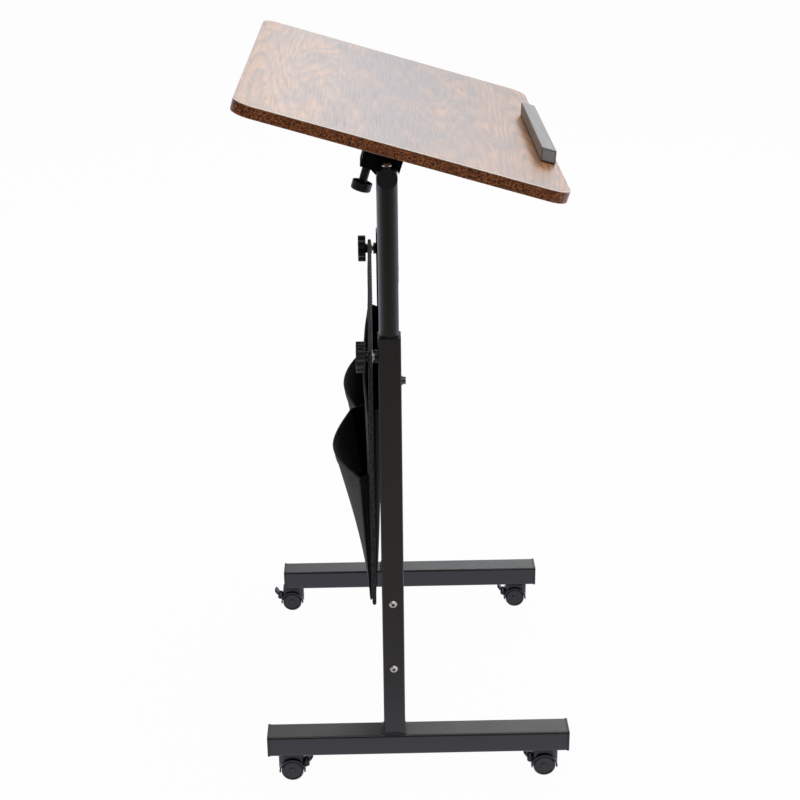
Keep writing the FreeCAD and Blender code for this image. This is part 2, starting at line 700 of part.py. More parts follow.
glides = []
for side, sign in SIDES.items():
    outer = rod("z", "tube_dia", "-post_length", "0")
    bore = rod("z", tube_inside, "-post_length", "0")
    cope = rod("y", "tube_dia", "-tube_dia", "tube_dia")
    slot_wide = "(stop_dia + 2 * slot_play)"
    slot_low = "(stop_height - head_height - raise_travel)"
    slot_high = "(stop_height - head_height + lower_travel)"
    channel = box(("0", "tube_dia"), (f"-{slot_wide} / 2", f"{slot_wide} / 2"), (slot_low, slot_high))
    low_end = rod("x", slot_wide, "0", "tube_dia", v=slot_low)
    high_end = rod("x", slot_wide, "0", "tube_dia", v=slot_high)
    post = node(f"post_{side}", cut(outer, bore, cope, fuse(channel, low_end, high_end)))
    at_column(post, sign, "head_height")
    glide_side = f"{square_inside} - 2 * glide_fit"
    block = rounded_bar(
        "glide_block",
        "XY",
        glide_side,
        glide_side,
        "glide_thick",
        "square_round",
        "-post_length - glide_thick",
    )
    spigot = rod("z", tube_inside, "-post_length", "glide_spigot - post_length")
    glides.append(at_column(fuse(block, spigot), sign, "head_height"))
node("post_glides", group(*glides))


# Tilting top: its pieces are modelled about the head tube, level, and then tilted together
def on_tilt(thing, y="0"):
    return put(thing, column_x, y, "head_height", Y, "tilt")


top_back = "(top_shift - top_depth / 2)"
top_front = "(top_shift + top_depth / 2)"
top_level = "(saddle_rise + top_thick)"
clamp_y = "((leg_spacing - tube_dia - clamp_width) / 2 - clamp_gap)"
bar_middle = f"({top_front} - stop_bar_margin - stop_bar_width / 2)"
plate_back = "(-(saddle_back - saddle_front) / 2 - plate_length / 2)"
plate_front = "(-(saddle_back - saddle_front) / 2 + plate_length / 2)"

board = new_body("board")
board_outline = new_sketch(board, "XY", "saddle_rise")
board_corners = [
    (top_back, "-top_width / 2"),
    (top_front, "-top_width / 2"),
    (top_front, "top_width / 2"),
    (top_back, "top_width / 2"),
]
draw_outline(board_outline, board_corners)
slab = pad(board, board_outline, "top_thick")
corners = round_off(board, slab, "top_round", runs_along(Z))
round_off(board, corners, "top_edge", lies_flat)

# Screws of the clamps and of the stop bar, and their holes in the board
wood_screws = []
pilot_holes = []
plate_screws = []
for sign in SIDES.values():
    for across in (-1, 1):
        for place in (f"{plate_back} + wood_screw_edge", f"{plate_front} - wood_screw_edge"):
            spot_y = f"{sign} * {clamp_y} + {across} * (plate_width / 2 - wood_screw_edge)"
            plate_screws.append((place, spot_y))
head_seat = "(saddle_rise - plate_thick)"
for place, spot_y in plate_screws:
    tip = "saddle_rise + wood_screw_depth"
    shank = rod("z", "wood_screw_dia", head_seat, tip, place, spot_y)
    head = rod("z", "wood_screw_head", f"{head_seat} - wood_screw_dome", head_seat, place, spot_y)
    wood_screws.append(on_tilt(fuse(shank, head)))
    pilot_holes.append(rod("z", "wood_screw_dia", "saddle_rise", tip, place, spot_y))

bar_screws = []
bar_holes = []
bar_seat = f"({top_level} + pad_thick)"
for sign in SIDES.values():
    spot_y = f"stop_bar_shift + {sign} * bar_screw_span / 2"
    tip = f"{bar_seat} + bar_screw_depth"
    shank = rod("z", "bar_screw_dia", "saddle_rise", tip, bar_middle, spot_y)
    head = rod("z", "bar_screw_head", "saddle_rise - bar_screw_dome", "saddle_rise", bar_middle, spot_y)
    bar_screws.append(on_tilt(fuse(shank, head)))
    pilot_holes.append(rod("z", "bar_screw_dia", "saddle_rise", top_level, bar_middle, spot_y))
    bar_holes.append((bar_middle, spot_y, tip))

on_tilt(node("desktop", cut(board, *pilot_holes)))
node("clamp_screws", group(*wood_screws))
node("stop_bar_screws", group(*bar_screws))


# Stop bar: it leans up the slope to hold a laptop's edge, and each end is sunk inside a thin rim
def bar_section(inset):
    """The leaning section of the bar, less an inset all round."""
    half = f"(stop_bar_width / 2 - {inset})"
    lower = f"({bar_seat} + {inset})"
    upper = f"({bar_seat} + stop_bar_tall - {inset})"
    return [
        (f"{bar_middle} - {half}", lower),
        (f"{bar_middle} + {half}", lower),
        (f"{bar_middle} - stop_bar_lean + {half}", upper),
        (f"{bar_middle} - stop_bar_lean - {half}", upper),
    ]


bar_body = prism("bar_body", "XZ", bar_section("0"), "stop_bar_length", both_ways=True)
round_off(bar_body, bar_body.Tip, "stop_bar_round", lambda edge: True)
put(bar_body, y="stop_bar_shift")
bar_bores = [rod("z", "bar_screw_dia", bar_seat, tip, x, y) for x, y, tip in bar_holes]
for sign in SIDES.values():
    recess = prism("recess", "XZ", bar_section("stop_bar_rim"), "2 * stop_bar_recess", both_ways=True)
    bar_bores.append(put(recess, y=f"stop_bar_shift + {sign} * stop_bar_length / 2"))
on_tilt(node("stop_bar", cut(bar_body, *bar_bores)))
strip_x = "(stop_bar_width / 2 - pad_inset)"
strip_y = "(stop_bar_length / 2 - pad_inset)"
strip = box(
    (f"{bar_middle} - {strip_x}", f"{bar_middle} + {strip_x}"),
    (f"stop_bar_shift - {strip_y}", f"stop_bar_shift + {strip_y}"),
    (top_level, bar_seat),
)
strip_bores = [rod("z", "bar_screw_dia", top_level, bar_seat, x, y) for x, y, tip in bar_holes]
on_tilt(node("stop_bar_pad", cut(strip, *strip_bores)))

# Tilt clamps: a saddle under the board and a jaw grip the head tube when the knob draws them together
seat_dia = "(tube_dia + 2 * seat_fit)"
relief_dia = "(tube_dia + 2 * relief_gap)"
for side, sign in SIDES.items():
    middle_y = f"{sign} * {clamp_y}"
    plate_under = "(saddle_rise - plate_thick)"
    saddle_corners = [
        ("-saddle_back", "split_height"),
        ("0", "split_height"),
        ("saddle_tip", "tip_height"),
        ("saddle_front", plate_under),
        ("-saddle_back", plate_under),
    ]
    saddle_block = prism("saddle_block", "XZ", saddle_corners, "clamp_width", both_ways=True)
    plate_body = new_body("plate")
    plate_outline = new_sketch(plate_body, "XY", plate_under)
    plate_corners = [
        (plate_back, "-plate_width / 2"),
        (plate_front, "-plate_width / 2"),
        (plate_front, "plate_width / 2"),
        (plate_back, "plate_width / 2"),
    ]
    draw_outline(plate_outline, plate_corners)
    plate_pad = pad(plate_body, plate_outline, "plate_thick")
    round_off(plate_body, plate_pad, "plate_round", runs_along(Z))
    bore_dia = "clamp_bolt_dia + 2 * bolt_fit"
    saddle_holes = [
        rod("y", seat_dia, "-clamp_width", "clamp_width"),
        rod("y", relief_dia, "-clamp_width", "relief_depth - clamp_width / 2"),
        rod("y", relief_dia, "clamp_width / 2 - relief_depth", "clamp_width"),
        rod("z", bore_dia, "split_height", "clamp_bolt_top + swivel_gap", "-clamp_bolt"),
    ]
    for across in (-1, 1):
        for place in (f"{plate_back} + wood_screw_edge", f"{plate_front} - wood_screw_edge"):
            spot_y = f"{across} * (plate_width / 2 - wood_screw_edge)"
            saddle_holes.append(rod("z", "wood_screw_dia", plate_under, "saddle_rise", place, spot_y))
    on_tilt(node(f"clamp_saddle_{side}", cut(fuse(saddle_block, plate_body), *saddle_holes)), middle_y)

    jaw_top = "(split_height - split_gap)"
    lip_end = "(tube_dia / 2 - lip_thick)"
    jaw_corners = [
        ("-saddle_back", "-jaw_base"),
        ("-tube_dia / 2 - lip_slope", "-jaw_base"),
        (f"-{lip_end} - lip_thick", "-jaw_lip"),
        (f"-{lip_end}", "-jaw_lip"),
        (f"-{lip_end} + lip_thick", jaw_top),
        ("-saddle_back", jaw_top),
    ]
    jaw_block = prism("jaw_block", "XZ", jaw_corners, "clamp_width", both_ways=True)
    jaw_holes = [rod("y", seat_dia, "-clamp_width", "clamp_width")]
    jaw_holes.append(rod("z", "clamp_bolt_dia + 2 * hole_play", "-jaw_lip", "split_height", "-clamp_bolt"))
    on_tilt(node(f"clamp_jaw_{side}", cut(jaw_block, *jaw_holes)), middle_y)

    cup_in = "(cup_dia / 2 - cup_wall)"
    floor_level = "(cup_floor - cup_base)"
    bolt_end = f"({floor_level} - bolt_bite)"
    cup_profile = [
        ("clamp_bolt_dia / 2", "-hub_rise"),
        ("cup_hub / 2", "-hub_rise"),
        ("cup_hub / 2", floor_level),
        (cup_in, floor_level),
        (cup_in, "-cup_top"),
        ("cup_dia / 2", "-cup_top"),
        ("cup_dia / 2", "cup_edge - cup_base"),
        ("cup_dia / 2 - cup_edge", "-cup_base"),
        ("0", "-cup_base"),
        ("0", bolt_end),
        ("clamp_bolt_dia / 2", bolt_end),
    ]
    cup = turned("cup", "XZ", cup_profile, "V_Axis")
    put(cup, "-clamp_bolt")
    on_tilt(node(f"tilt_knob_{side}", group(cup)), middle_y)
    clamp_bolt = rod("z", "clamp_bolt_dia", bolt_end, "clamp_bolt_top", "-clamp_bolt")
    on_tilt(node(f"tilt_bolt_{side}", group(clamp_bolt)), middle_y)


# Bag: a stiff panel hung on the stems of the height knobs, with pockets sewn on both sides
def pocket_wedge(name, sign, near, mouth, foot, width):
    """A pocket across the desk, as deep as mouth at its top and as foot at its seam, open above."""
    inner = f"({near})"
    outline = [
        (f"{sign} * {inner}", "panel_bottom"),
        (f"{sign} * ({inner} + {foot})", "panel_bottom"),
        (f"{sign} * ({inner} + {mouth})", "main_top"),
        (f"{sign} * {inner}", "main_top"),
    ]
    hollow = [
        (f"{sign} * ({inner} + cloth)", "panel_bottom + cloth"),
        (f"{sign} * ({inner} + {foot} - cloth)", "panel_bottom + cloth"),
        (f"{sign} * ({inner} + {mouth} - cloth)", "main_top"),
        (f"{sign} * ({inner} + cloth)", "main_top"),
    ]
    shell = prism(name, "XZ", outline, width, both_ways=True)
    space = prism(name + "_space", "XZ", hollow, f"{width} - 2 * cloth", both_ways=True)
    return cut(shell, space)


panel = new_body("panel")
panel_outline = new_sketch(panel, "YZ", f"-{panel_back}")
panel_corners = [
    ("-panel_width / 2", "panel_bottom"),
    ("panel_width / 2", "panel_bottom"),
    ("panel_width / 2", "panel_top"),
    ("-panel_width / 2", "panel_top"),
]
draw_outline(panel_outline, panel_corners)
sheet_pad = pad(panel, panel_outline, "panel_thick")
round_off(panel, sheet_pad, "panel_round", runs_along(X))
eyes = []
for sign in SIDES.values():
    eye_dia = "screw_dia + 2 * hole_play"
    eyes.append(rod("x", eye_dia, f"-{panel_back}", f"-{panel_front}", leg_y(sign), "knob_height"))
put(node("bag_panel", cut(panel, *eyes)), column_x)

main_near = f"{panel_back} + sew_gap"
main_shape = pocket_wedge("main", -1, main_near, "main_mouth", "main_foot", "main_width")
put(node("bag_main_pocket", main_shape), column_x)
user_width = "leg_spacing - square_size - 2 * user_margin"
user_shape = pocket_wedge("user", 1, f"sew_gap - {panel_front}", "user_mouth", "user_foot", user_width)
put(node("bag_user_pocket", user_shape), column_x)


def behind_main(level):
    """How far behind the columns the full-width pocket reaches at a height, with the seam."""
    rise = f"(({level}) - panel_bottom) / (main_top - panel_bottom)"
    return f"({main_near} + main_foot + (main_mouth - main_foot) * {rise} + sew_gap)"


# Half-width pockets: lofts between a bowed mouth and a flatter bowed seam, hollow and open above
half_pockets = (
    ("left", "-small_width - small_middle / 2", "left_bulge"),
    ("right", "small_middle / 2", "right_bulge"),
)
for side, first, mouth_bulge in half_pockets:
    last = f"{first} + small_width"
    bag = new_body("half_pocket")
    floor_level = "small_bottom + cloth"
    outer_low = new_sketch(bag, "XY", "small_bottom")
    draw_bow(outer_low, f"-{behind_main('small_bottom')}", first, last, "small_foot")
    outer_high = new_sketch(bag, "XY", "small_top")
    draw_bow(outer_high, f"-{behind_main('small_top')}", first, last, mouth_bulge)
    inner_low = new_sketch(bag, "XY", floor_level)
    low_back = f"-{behind_main(floor_level)} - cloth"
    draw_bow(inner_low, low_back, f"{first} + seam_inset", f"{last} - seam_inset", "small_foot - 2 * cloth")
    inner_high = new_sketch(bag, "XY", "small_top")
    high_back = f"-{behind_main('small_top')} - cloth"
    inner_bulge = f"{mouth_bulge} - 2 * cloth"
    draw_bow(inner_high, high_back, f"{first} + mouth_inset", f"{last} - mouth_inset", inner_bulge)
    doc.recompute()
    for kind, low, high in (("Additive", outer_low, outer_high), ("Subtractive", inner_low, inner_high)):
        loft = bag.newObject(f"PartDesign::{kind}Loft", "loft")
        loft.Profile = low
        loft.Sections = [high]
        loft.Ruled = True
        doc.recompute()
    put(node(f"bag_{side}_pocket", bag), column_x)

# Casters: twin wheels on one axle under a hooded housing that swivels on a stem, with a brake lever.
# They are modelled about the swivel axis, trailing to +X, and then turned and placed under the feet.
CORNERS = {
    "front_left": ("foot_front - caster_inset", -1, "180"),
    "front_right": ("foot_front - caster_inset", 1, "180"),
    "back_left": ("caster_inset - foot_back", -1, "0"),
    "back_right": ("caster_inset - foot_back", 1, "180"),
}
wheel_in = "(web_width / 2 + web_gap)"
wheel_out = "(web_width / 2 + web_gap + wheel_width)"
axle_z = "wheel_dia / 2"
hood_in = "(wheel_dia + 2 * hood_gap)"
hood_half = f"({wheel_out} + hood_side)"
boss_top = "(caster_height - collar_thick - swivel_gap)"
pivot_z = f"({axle_z} + {pivot_radius} * sin(lug_angle))"
lug_in = "(lever_width / 2 + lever_gap)"
lug_out = "(lever_width / 2 + lever_gap + lug_width)"
trunnion_end = "(lever_width / 2 + lever_gap + pivot_depth)"


def across(dia, start, end, x="caster_trail", z=axle_z):
    """A round bar along the axle, or along another line that runs that way."""
    return rod("y", dia, start, end, x, z)


def make_housing():
    hood = across(hood_out, f"-{hood_half}", hood_half)
    under = f"{axle_z} - hood_drop"
    opening = box(
        (f"caster_trail - {hood_out}", f"caster_trail + {hood_out}"),
        (f"-2 * {hood_half}", f"2 * {hood_half}"),
        (f"{under} - {hood_out}", under),
    )
    upper = cut(hood, opening)
    web = across("web_dia", "-web_width / 2", "web_width / 2")
    boss = rod("z", "boss_dia", "wheel_dia / 2", boss_top)
    shoulder_tall = f"{boss_top} - shoulder_gap - {axle_z}"
    shoulder = rounded_bar(
        "shoulder", "XY", "shoulder_length", "shoulder_width", shoulder_tall, "shoulder_round", axle_z
    )
    put(shoulder, "caster_trail")
    wells = []
    for sign in (-1, 1):
        ends = ("web_width / 2", "wheel_dia") if sign > 0 else ("-wheel_dia", "-web_width / 2")
        wells.append(across(hood_in, *ends))
    lugs = []
    for ends in ((f"-{lug_out}", f"-{lug_in}"), (lug_in, lug_out)):
        lugs.append(across("lug_dia", *ends, pivot_x, pivot_z))
    bores = [
        across("axle_dia + 2 * spin_fit", "-web_width", "web_width"),
        across("pivot_dia + 2 * spin_fit", f"-{trunnion_end}", trunnion_end, pivot_x, pivot_z),
        rod("z", "stem_dia + 2 * spin_fit", f"{boss_top} - stem_seat - swivel_gap", "caster_height"),
    ]
    return cut(fuse(upper, web, boss, shoulder, *lugs), *wells, *bores)


def make_wheel(sign):
    dish_out = "wheel_dia / 2 - wheel_rim"
    profile = [
        ("axle_dia / 2", wheel_in),
        ("hub_dia / 2", wheel_in),
        ("hub_dia / 2", f"{wheel_out} - wheel_face - wheel_dish"),
        (dish_out, f"{wheel_out} - wheel_face - wheel_dish"),
        (dish_out, wheel_in),
        ("wheel_dia / 2 - wheel_edge", wheel_in),
        ("wheel_dia / 2", f"{wheel_in} + wheel_edge"),
        ("wheel_dia / 2", f"{wheel_out} - wheel_edge"),
        ("wheel_dia / 2 - wheel_edge", wheel_out),
        (dish_out, wheel_out),
        (f"{dish_out} - wheel_dish", f"{wheel_out} - wheel_dish"),
        ("hub_dia / 2 + wheel_dish", f"{wheel_out} - wheel_dish"),
        ("hub_dia / 2", wheel_out),
        ("0", wheel_out),
        ("0", f"{wheel_out} - hub_cover"),
        ("axle_dia / 2", f"{wheel_out} - hub_cover"),
    ]
    wheel = turned("wheel", "XY", profile, "V_Axis")
    return put(wheel, "caster_trail", "0", axle_z, Z, "0" if sign > 0 else "180")


def make_lever():
    knuckle = across("knuckle_dia", "-lever_width / 2", "lever_width / 2", "0", "0")
    trunnions = across("pivot_dia", f"-{trunnion_end}", trunnion_end, "0", "0")
    neck_start = "lug_dia / 2 + lever_gap"
    neck = box(
        ("0", neck_start),
        ("-lever_width / 2", "lever_width / 2"),
        ("-lever_thick / 2", "lever_thick / 2"),
    )
    blade = new_body("paddle")
    outline = new_sketch(blade, "XY", "-lever_thick / 2")
    edges = [
        (neck_start, "-paddle_width / 2"),
        ("lever_length", "-paddle_width / 2"),
        ("lever_length", "paddle_width / 2"),
        (neck_start, "paddle_width / 2"),
    ]
    draw_outline(outline, edges)
    plate = pad(blade, outline, "lever_thick")
    round_off(blade, plate, "paddle_round", runs_along(Z))
    lever = fuse(knuckle, trunnions, neck, blade)
    return put(lever, pivot_x, "0", pivot_z, Y, "-lever_rise")


def under_foot(thing, corner):
    """Places a piece modelled about the swivel axis under a corner of the desk."""
    spot_x, sign, heading = CORNERS[corner]
    return put(thing, f"{column_x} + {spot_x}", leg_y(sign), "0", Z, heading)


stems = []
axle_end = f"({wheel_out} - hub_cover)"
for corner in CORNERS:
    under_foot(node(f"caster_{corner}_housing", make_housing()), corner)
    under_foot(node(f"caster_{corner}_wheels", group(make_wheel(-1), make_wheel(1))), corner)
    under_foot(node(f"caster_{corner}_axle", group(across("axle_dia", f"-{axle_end}", axle_end))), corner)
    under_foot(node(f"caster_{corner}_brake", group(make_lever())), corner)
    stem = rod("z", "stem_dia", f"{boss_top} - stem_seat", "caster_height + stem_grip")
    collar = rod("z", "collar_dia", "caster_height - collar_thick", "caster_height")
    stems.append(under_foot(fuse(stem, collar), corner))
node("caster_stems", group(*stems))

doc.recompute()
faults = [thing.Name for thing in doc.Objects if {"Invalid", "Error"} & set(thing.State)]
for thing in nodes:
    if thing.Shape.isNull() or not thing.Shape.isValid() or not thing.Shape.Solids:
        faults.append(thing.Label)
if faults:
    raise RuntimeError("faulty: " + ", ".join(faults))
os.makedirs("parts", exist_ok=True)
for thing in nodes:
    thing.Shape.exportStep(f"parts/{thing.Label}.step")
print(len(nodes), "nodes,", sum(len(thing.Shape.Solids) for thing in nodes), "solids")
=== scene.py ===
import math

import bmesh
import bpy
from mathutils import Matrix, Vector, noise


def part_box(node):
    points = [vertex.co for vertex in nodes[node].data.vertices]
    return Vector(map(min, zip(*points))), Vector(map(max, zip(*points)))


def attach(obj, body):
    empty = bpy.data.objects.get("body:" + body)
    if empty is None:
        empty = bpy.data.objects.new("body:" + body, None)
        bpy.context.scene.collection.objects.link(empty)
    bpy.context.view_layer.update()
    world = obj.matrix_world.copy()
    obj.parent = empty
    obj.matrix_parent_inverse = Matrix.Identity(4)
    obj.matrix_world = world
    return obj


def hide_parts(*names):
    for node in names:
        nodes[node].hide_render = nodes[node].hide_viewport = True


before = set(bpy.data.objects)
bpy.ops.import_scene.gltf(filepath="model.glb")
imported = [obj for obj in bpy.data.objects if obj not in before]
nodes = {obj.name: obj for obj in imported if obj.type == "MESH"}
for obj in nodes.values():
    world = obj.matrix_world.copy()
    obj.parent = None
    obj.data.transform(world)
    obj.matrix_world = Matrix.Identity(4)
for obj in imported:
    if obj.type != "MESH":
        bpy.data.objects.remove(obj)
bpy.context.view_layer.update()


# Feet, columns, cross bars, posts and head tube: steel tube, powder coated black after welding.
# The baked powder leaves a fine pebbled skin that spreads a reflection without killing it.
def linear(code):
    """An sRGB hex colour as the linear values that shaders take."""
    parts = [int(code[i:i + 2], 16) / 255 for i in (1, 3, 5)]
    return (*(c / 12.92 if c <= 0.04045 else ((c + 0.055) / 1.055) ** 2.4 for c in parts), 1)


def new_material(name):
    """A material with its shader, ready for more nodes."""
    material = bpy.data.materials.new(name)
    material.use_nodes = True
    return material, material.node_tree.nodes["Principled BSDF"]


def set_inputs(owner, node, inputs):
    """Fills a node's inputs with values, or links them to sockets or to other nodes' first outputs."""
    for socket, value in inputs.items():
        if isinstance(value, bpy.types.Node):
            value = next(output for output in value.outputs if output.enabled)
        if isinstance(value, bpy.types.NodeSocket):
            owner.node_tree.links.new(value, node.inputs[socket])
        else:
            node.inputs[socket].default_value = value


def add_node(owner, kind, inputs, **settings):
    """Adds a node to a material or world, with its settings and inputs."""
    node = owner.node_tree.nodes.new(kind)
    for name, value in settings.items():
        setattr(node, name, value)
    set_inputs(owner, node, inputs)
    return node


def paint(material, *names):
    """Gives CAD nodes one material."""
    for name in names:
        nodes[name].data.materials.clear()
        nodes[name].data.materials.append(material)


powder_coat, shader = new_material("powder_coated_steel")
place = add_node(powder_coat, "ShaderNodeTexCoord", {}).outputs["Object"]
pebble_mm = 0.9
pebble = add_node(
    powder_coat, "ShaderNodeTexNoise", {"Vector": place, "Scale": 1000 / pebble_mm, "Detail": 2.0}
)
patch_mm = 60
patch = add_node(
    powder_coat, "ShaderNodeTexNoise", {"Vector": place, "Scale": 1000 / patch_mm, "Detail": 3.0}
)
dullness = add_node(powder_coat, "ShaderNodeMapRange", {"Value": patch, "To Min": 0.34, "To Max": 0.44})
skin = add_node(powder_coat, "ShaderNodeBump", {"Height": pebble, "Strength": 0.2, "Distance": 0.0002})
set_inputs(
    powder_coat,
    shader,
    {
        "Base Color": linear("#191919"),
        "Specular IOR Level": 0.62,
        "Roughness": dullness,
        "Normal": skin,
    },
)
SIDES = ("left", "right")
paint(powder_coat, "lower_cross_bar", "upper_cross_bar", "head_tube", "weld_nuts")
for side in SIDES:
    paint(powder_coat, f"foot_{side}", f"column_{side}", f"post_{side}")


# Weld beads: the seam of filler round the foot of each column, coated with the frame.
# A hand-held torch moves in small steps, so the bead is a row of low overlapping ripples.
def make_piece(name, mesh, material, body):
    """Turns a finished mesh into a piece that rides on a body."""
    data = bpy.data.meshes.new(name)
    mesh.to_mesh(data)
    mesh.free()
    data.shade_smooth()
    data.materials.append(material)
    piece = bpy.data.objects.new(name, data)
    bpy.context.scene.collection.objects.link(piece)
    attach(piece, body)
    return piece


bead = 0.0024
bead_sunk = 0.0001
ripples = 60
ripple_height = 0.16
squareness = 14
for side in SIDES:
    low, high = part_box(f"column_{side}")
    middle = (low + high) / 2
    half = (high.x - low.x) / 2
    seam = bmesh.new()
    bmesh.ops.create_grid(seam, x_segments=240, y_segments=5, size=0.5)
    for corner in seam.verts:
        turn = 2 * math.pi * (corner.co.x + 0.5)
        share = corner.co.y + 0.5
        way = Vector((math.cos(turn), math.sin(turn), 0))
        stretch = (abs(way.x) ** squareness + abs(way.y) ** squareness) ** (1 / squareness)
        reach = half / stretch - bead_sunk
        ripple = bead * (1 + ripple_height * abs(math.sin(turn * ripples / 2)))
        outward = ripple * math.sin(share * math.pi / 2)
        upward = ripple * math.cos(share * math.pi / 2)
        corner.co = Vector((middle.x, middle.y, low.z + upward)) + way * (reach + outward)
    bmesh.ops.remove_doubles(seam, verts=seam.verts[:], dist=1e-6)
    bmesh.ops.recalc_face_normals(seam, faces=seam.faces[:])
    make_piece(f"weld_bead_{side}", seam, powder_coat, "frame")

# Foot caps, bushings, plugs, glides, inserts and knobs: injection-moulded black polypropylene.
# The mould is spark-eroded, so the skin has an even fine grain and a soft sheen.
moulded, shader = new_material("moulded_polypropylene")
place = add_node(moulded, "ShaderNodeTexCoord", {}).outputs["Object"]
grain_mm = 0.7
grain = add_node(
    moulded, "ShaderNodeTexNoise", {"Vector": place, "Scale": 1000 / grain_mm, "Detail": 1.0}
)
handled_mm = 18
handled = add_node(
    moulded, "ShaderNodeTexNoise", {"Vector": place, "Scale": 1000 / handled_mm, "Detail": 3.0}
)
sheen = add_node(moulded, "ShaderNodeMapRange", {"Value": handled, "To Min": 0.36, "To Max": 0.5})
skin = add_node(moulded, "ShaderNodeBump", {"Height": grain, "Strength": 0.3, "Distance": 0.0001})
set_inputs(moulded, shader, {"Base Color": linear("#161617"), "Roughness": sheen, "Normal": skin})
paint(moulded, "foot_caps", "head_tube_plugs", "post_glides", "post_inserts", "cross_bar_inserts")
for side in SIDES:
    paint(moulded, f"guide_bushing_{side}", f"height_knob_{side}", f"tilt_knob_{side}")

# Tilt clamps: saddle and jaw, moulded in nylon with glass fibre for stiffness.
# The fibres that reach the skin scatter the light, so these pieces look dry and almost black.
nylon, shader = new_material("glass_filled_nylon")
place = add_node(nylon, "ShaderNodeTexCoord", {}).outputs["Object"]
fibre_mm = 1.1
fibre = add_node(
    nylon, "ShaderNodeTexNoise", {"Vector": place, "Scale": 1000 / fibre_mm, "Detail": 3.0}
)
dryness = add_node(nylon, "ShaderNodeMapRange", {"Value": fibre, "To Min": 0.65, "To Max": 0.85})
skin = add_node(nylon, "ShaderNodeBump", {"Height": fibre, "Strength": 0.25, "Distance": 0.0001})
set_inputs(
    nylon,
    shader,
    {
        "Base Color": linear("#0e0e0f"),
        "Specular IOR Level": 0.12,
        "Roughness": dryness,
        "Normal": skin,
    },
)
for side in SIDES:
    paint(nylon, f"clamp_saddle_{side}", f"clamp_jaw_{side}")

# Casters: housings and brake levers moulded like the knobs, on plated stems, with twin nylon wheels.
# The treads are worn smooth in use, so the wheels shine a little more than the housings.
CASTERS = ("front_left", "front_right", "back_left", "back_right")
tread, shader = new_material("nylon_wheel")
place = add_node(tread, "ShaderNodeTexCoord", {}).outputs["Object"]
scuff_mm = 3
scuff = add_node(
    tread, "ShaderNodeTexNoise", {"Vector": place, "Scale": 1000 / scuff_mm, "Detail": 4.0}
)
wear = add_node(tread, "ShaderNodeMapRange", {"Value": scuff, "To Min": 0.3, "To Max": 0.5})
set_inputs(tread, shader, {"Base Color": linear("#1b1b1d"), "Roughness": wear})
for corner in CASTERS:
    paint(moulded, f"caster_{corner}_housing", f"caster_{corner}_brake")
    paint(tread, f"caster_{corner}_wheels")

# Screws, bolts, washers, stems and axles: steel with a thin bright zinc plating.
# Plating follows the drawn metal, so its gloss is uneven, with dull and bright patches.
zinc, shader = new_material("zinc_plated_steel")
place = add_node(zinc, "ShaderNodeTexCoord", {}).outputs["Object"]
cloud_mm = 2.5
cloud = add_node(
    zinc, "ShaderNodeTexNoise", {"Vector": place, "Scale": 1000 / cloud_mm, "Detail": 3.0}
)
tint = add_node(
    zinc,
    "ShaderNodeMix",
    {"Factor": cloud, "A": linear("#d6d4cd"), "B": linear("#f2f1ec")},
    data_type="RGBA",
)
gloss = add_node(zinc, "ShaderNodeMapRange", {"Value": cloud, "To Min": 0.4, "To Max": 0.58})
set_inputs(zinc, shader, {"Metallic": 1.0, "Base Color": tint, "Roughness": gloss})
paint(zinc, "cross_bar_screws", "post_bolts", "stop_bar_screws", "bag_washers", "caster_stems")
for side in SIDES:
    paint(zinc, f"height_screw_{side}", f"tilt_bolt_{side}")
for corner in CASTERS:
    paint(zinc, f"caster_{corner}_axle")

# Stop screws and clamp screws: steel blackened in a hot bath and oiled, so it stays dark but gleams.
# The oil film is uneven, and the edges catch the light.
blackened, shader = new_material("blackened_steel")
place = add_node(blackened, "ShaderNodeTexCoord", {}).outputs["Object"]
film_mm = 3
film = add_node(
    blackened, "ShaderNodeTexNoise", {"Vector": place, "Scale": 1000 / film_mm, "Detail": 2.0}
)
gleam = add_node(blackened, "ShaderNodeMapRange", {"Value": film, "To Min": 0.25, "To Max": 0.45})
set_inputs(blackened, shader, {"Metallic": 1.0, "Base Color": linear("#737376"), "Roughness": gleam})
paint(blackened, "stop_screws", "clamp_screws")

# Sockets of the cross bar screws and post bolts: six-sided drive holes, formed by a punch.
# The heads are solid, so each hole is a near-black six-sided disc standing on the head: painted shade for
# the hole's depth.
shade, shader = new_material("painted_socket_shade")
place = add_node(shade, "ShaderNodeTexCoord", {}).outputs["Object"]
smear_mm = 1.2
smear = add_node(shade, "ShaderNodeTexNoise", {"Vector": place, "Scale": 1000 / smear_mm})
oily = add_node(shade, "ShaderNodeMapRange", {"Value": smear, "To Min": 0.5, "To Max": 0.8})
set_inputs(shade, shader, {"Base Color": linear("#0d0c0b"), "Roughness": oily})
socket_radius = 0.0021
socket_rise = 0.0001


def add_socket(mesh, place, way):
    """A six-sided disc that stands just proud of a screw's head."""
    turn = Vector((0, 0, 1)).rotation_difference(way).to_matrix().to_4x4()
    bmesh.ops.create_cone(
        mesh,
        cap_ends=True,
        segments=6,
        radius1=socket_radius,
        radius2=socket_radius,
        depth=2 * socket_rise,
        matrix=Matrix.Translation(place) @ turn,
    )


low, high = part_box("cross_bar_screws")
sockets = bmesh.new()
for bar in ("lower_cross_bar", "upper_cross_bar"):
    bar_low, bar_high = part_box(bar)
    middle = (bar_low + bar_high) / 2
    add_socket(sockets, (middle.x, low.y, middle.z), Vector((0, -1, 0)))
    add_socket(sockets, (middle.x, high.y, middle.z), Vector((0, 1, 0)))
piece = make_piece("cross_bar_screw_sockets", sockets, shade, "frame")
piece.data.shade_flat()
low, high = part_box("post_bolts")
sockets = bmesh.new()
for side in SIDES:
    post_low, post_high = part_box(f"post_{side}")
    middle = (post_low + post_high) / 2
    add_socket(sockets, (middle.x, middle.y, high.z), Vector((0, 0, 1)))
piece = make_piece("post_bolt_sockets", sockets, shade, "lift")
piece.data.shade_flat()

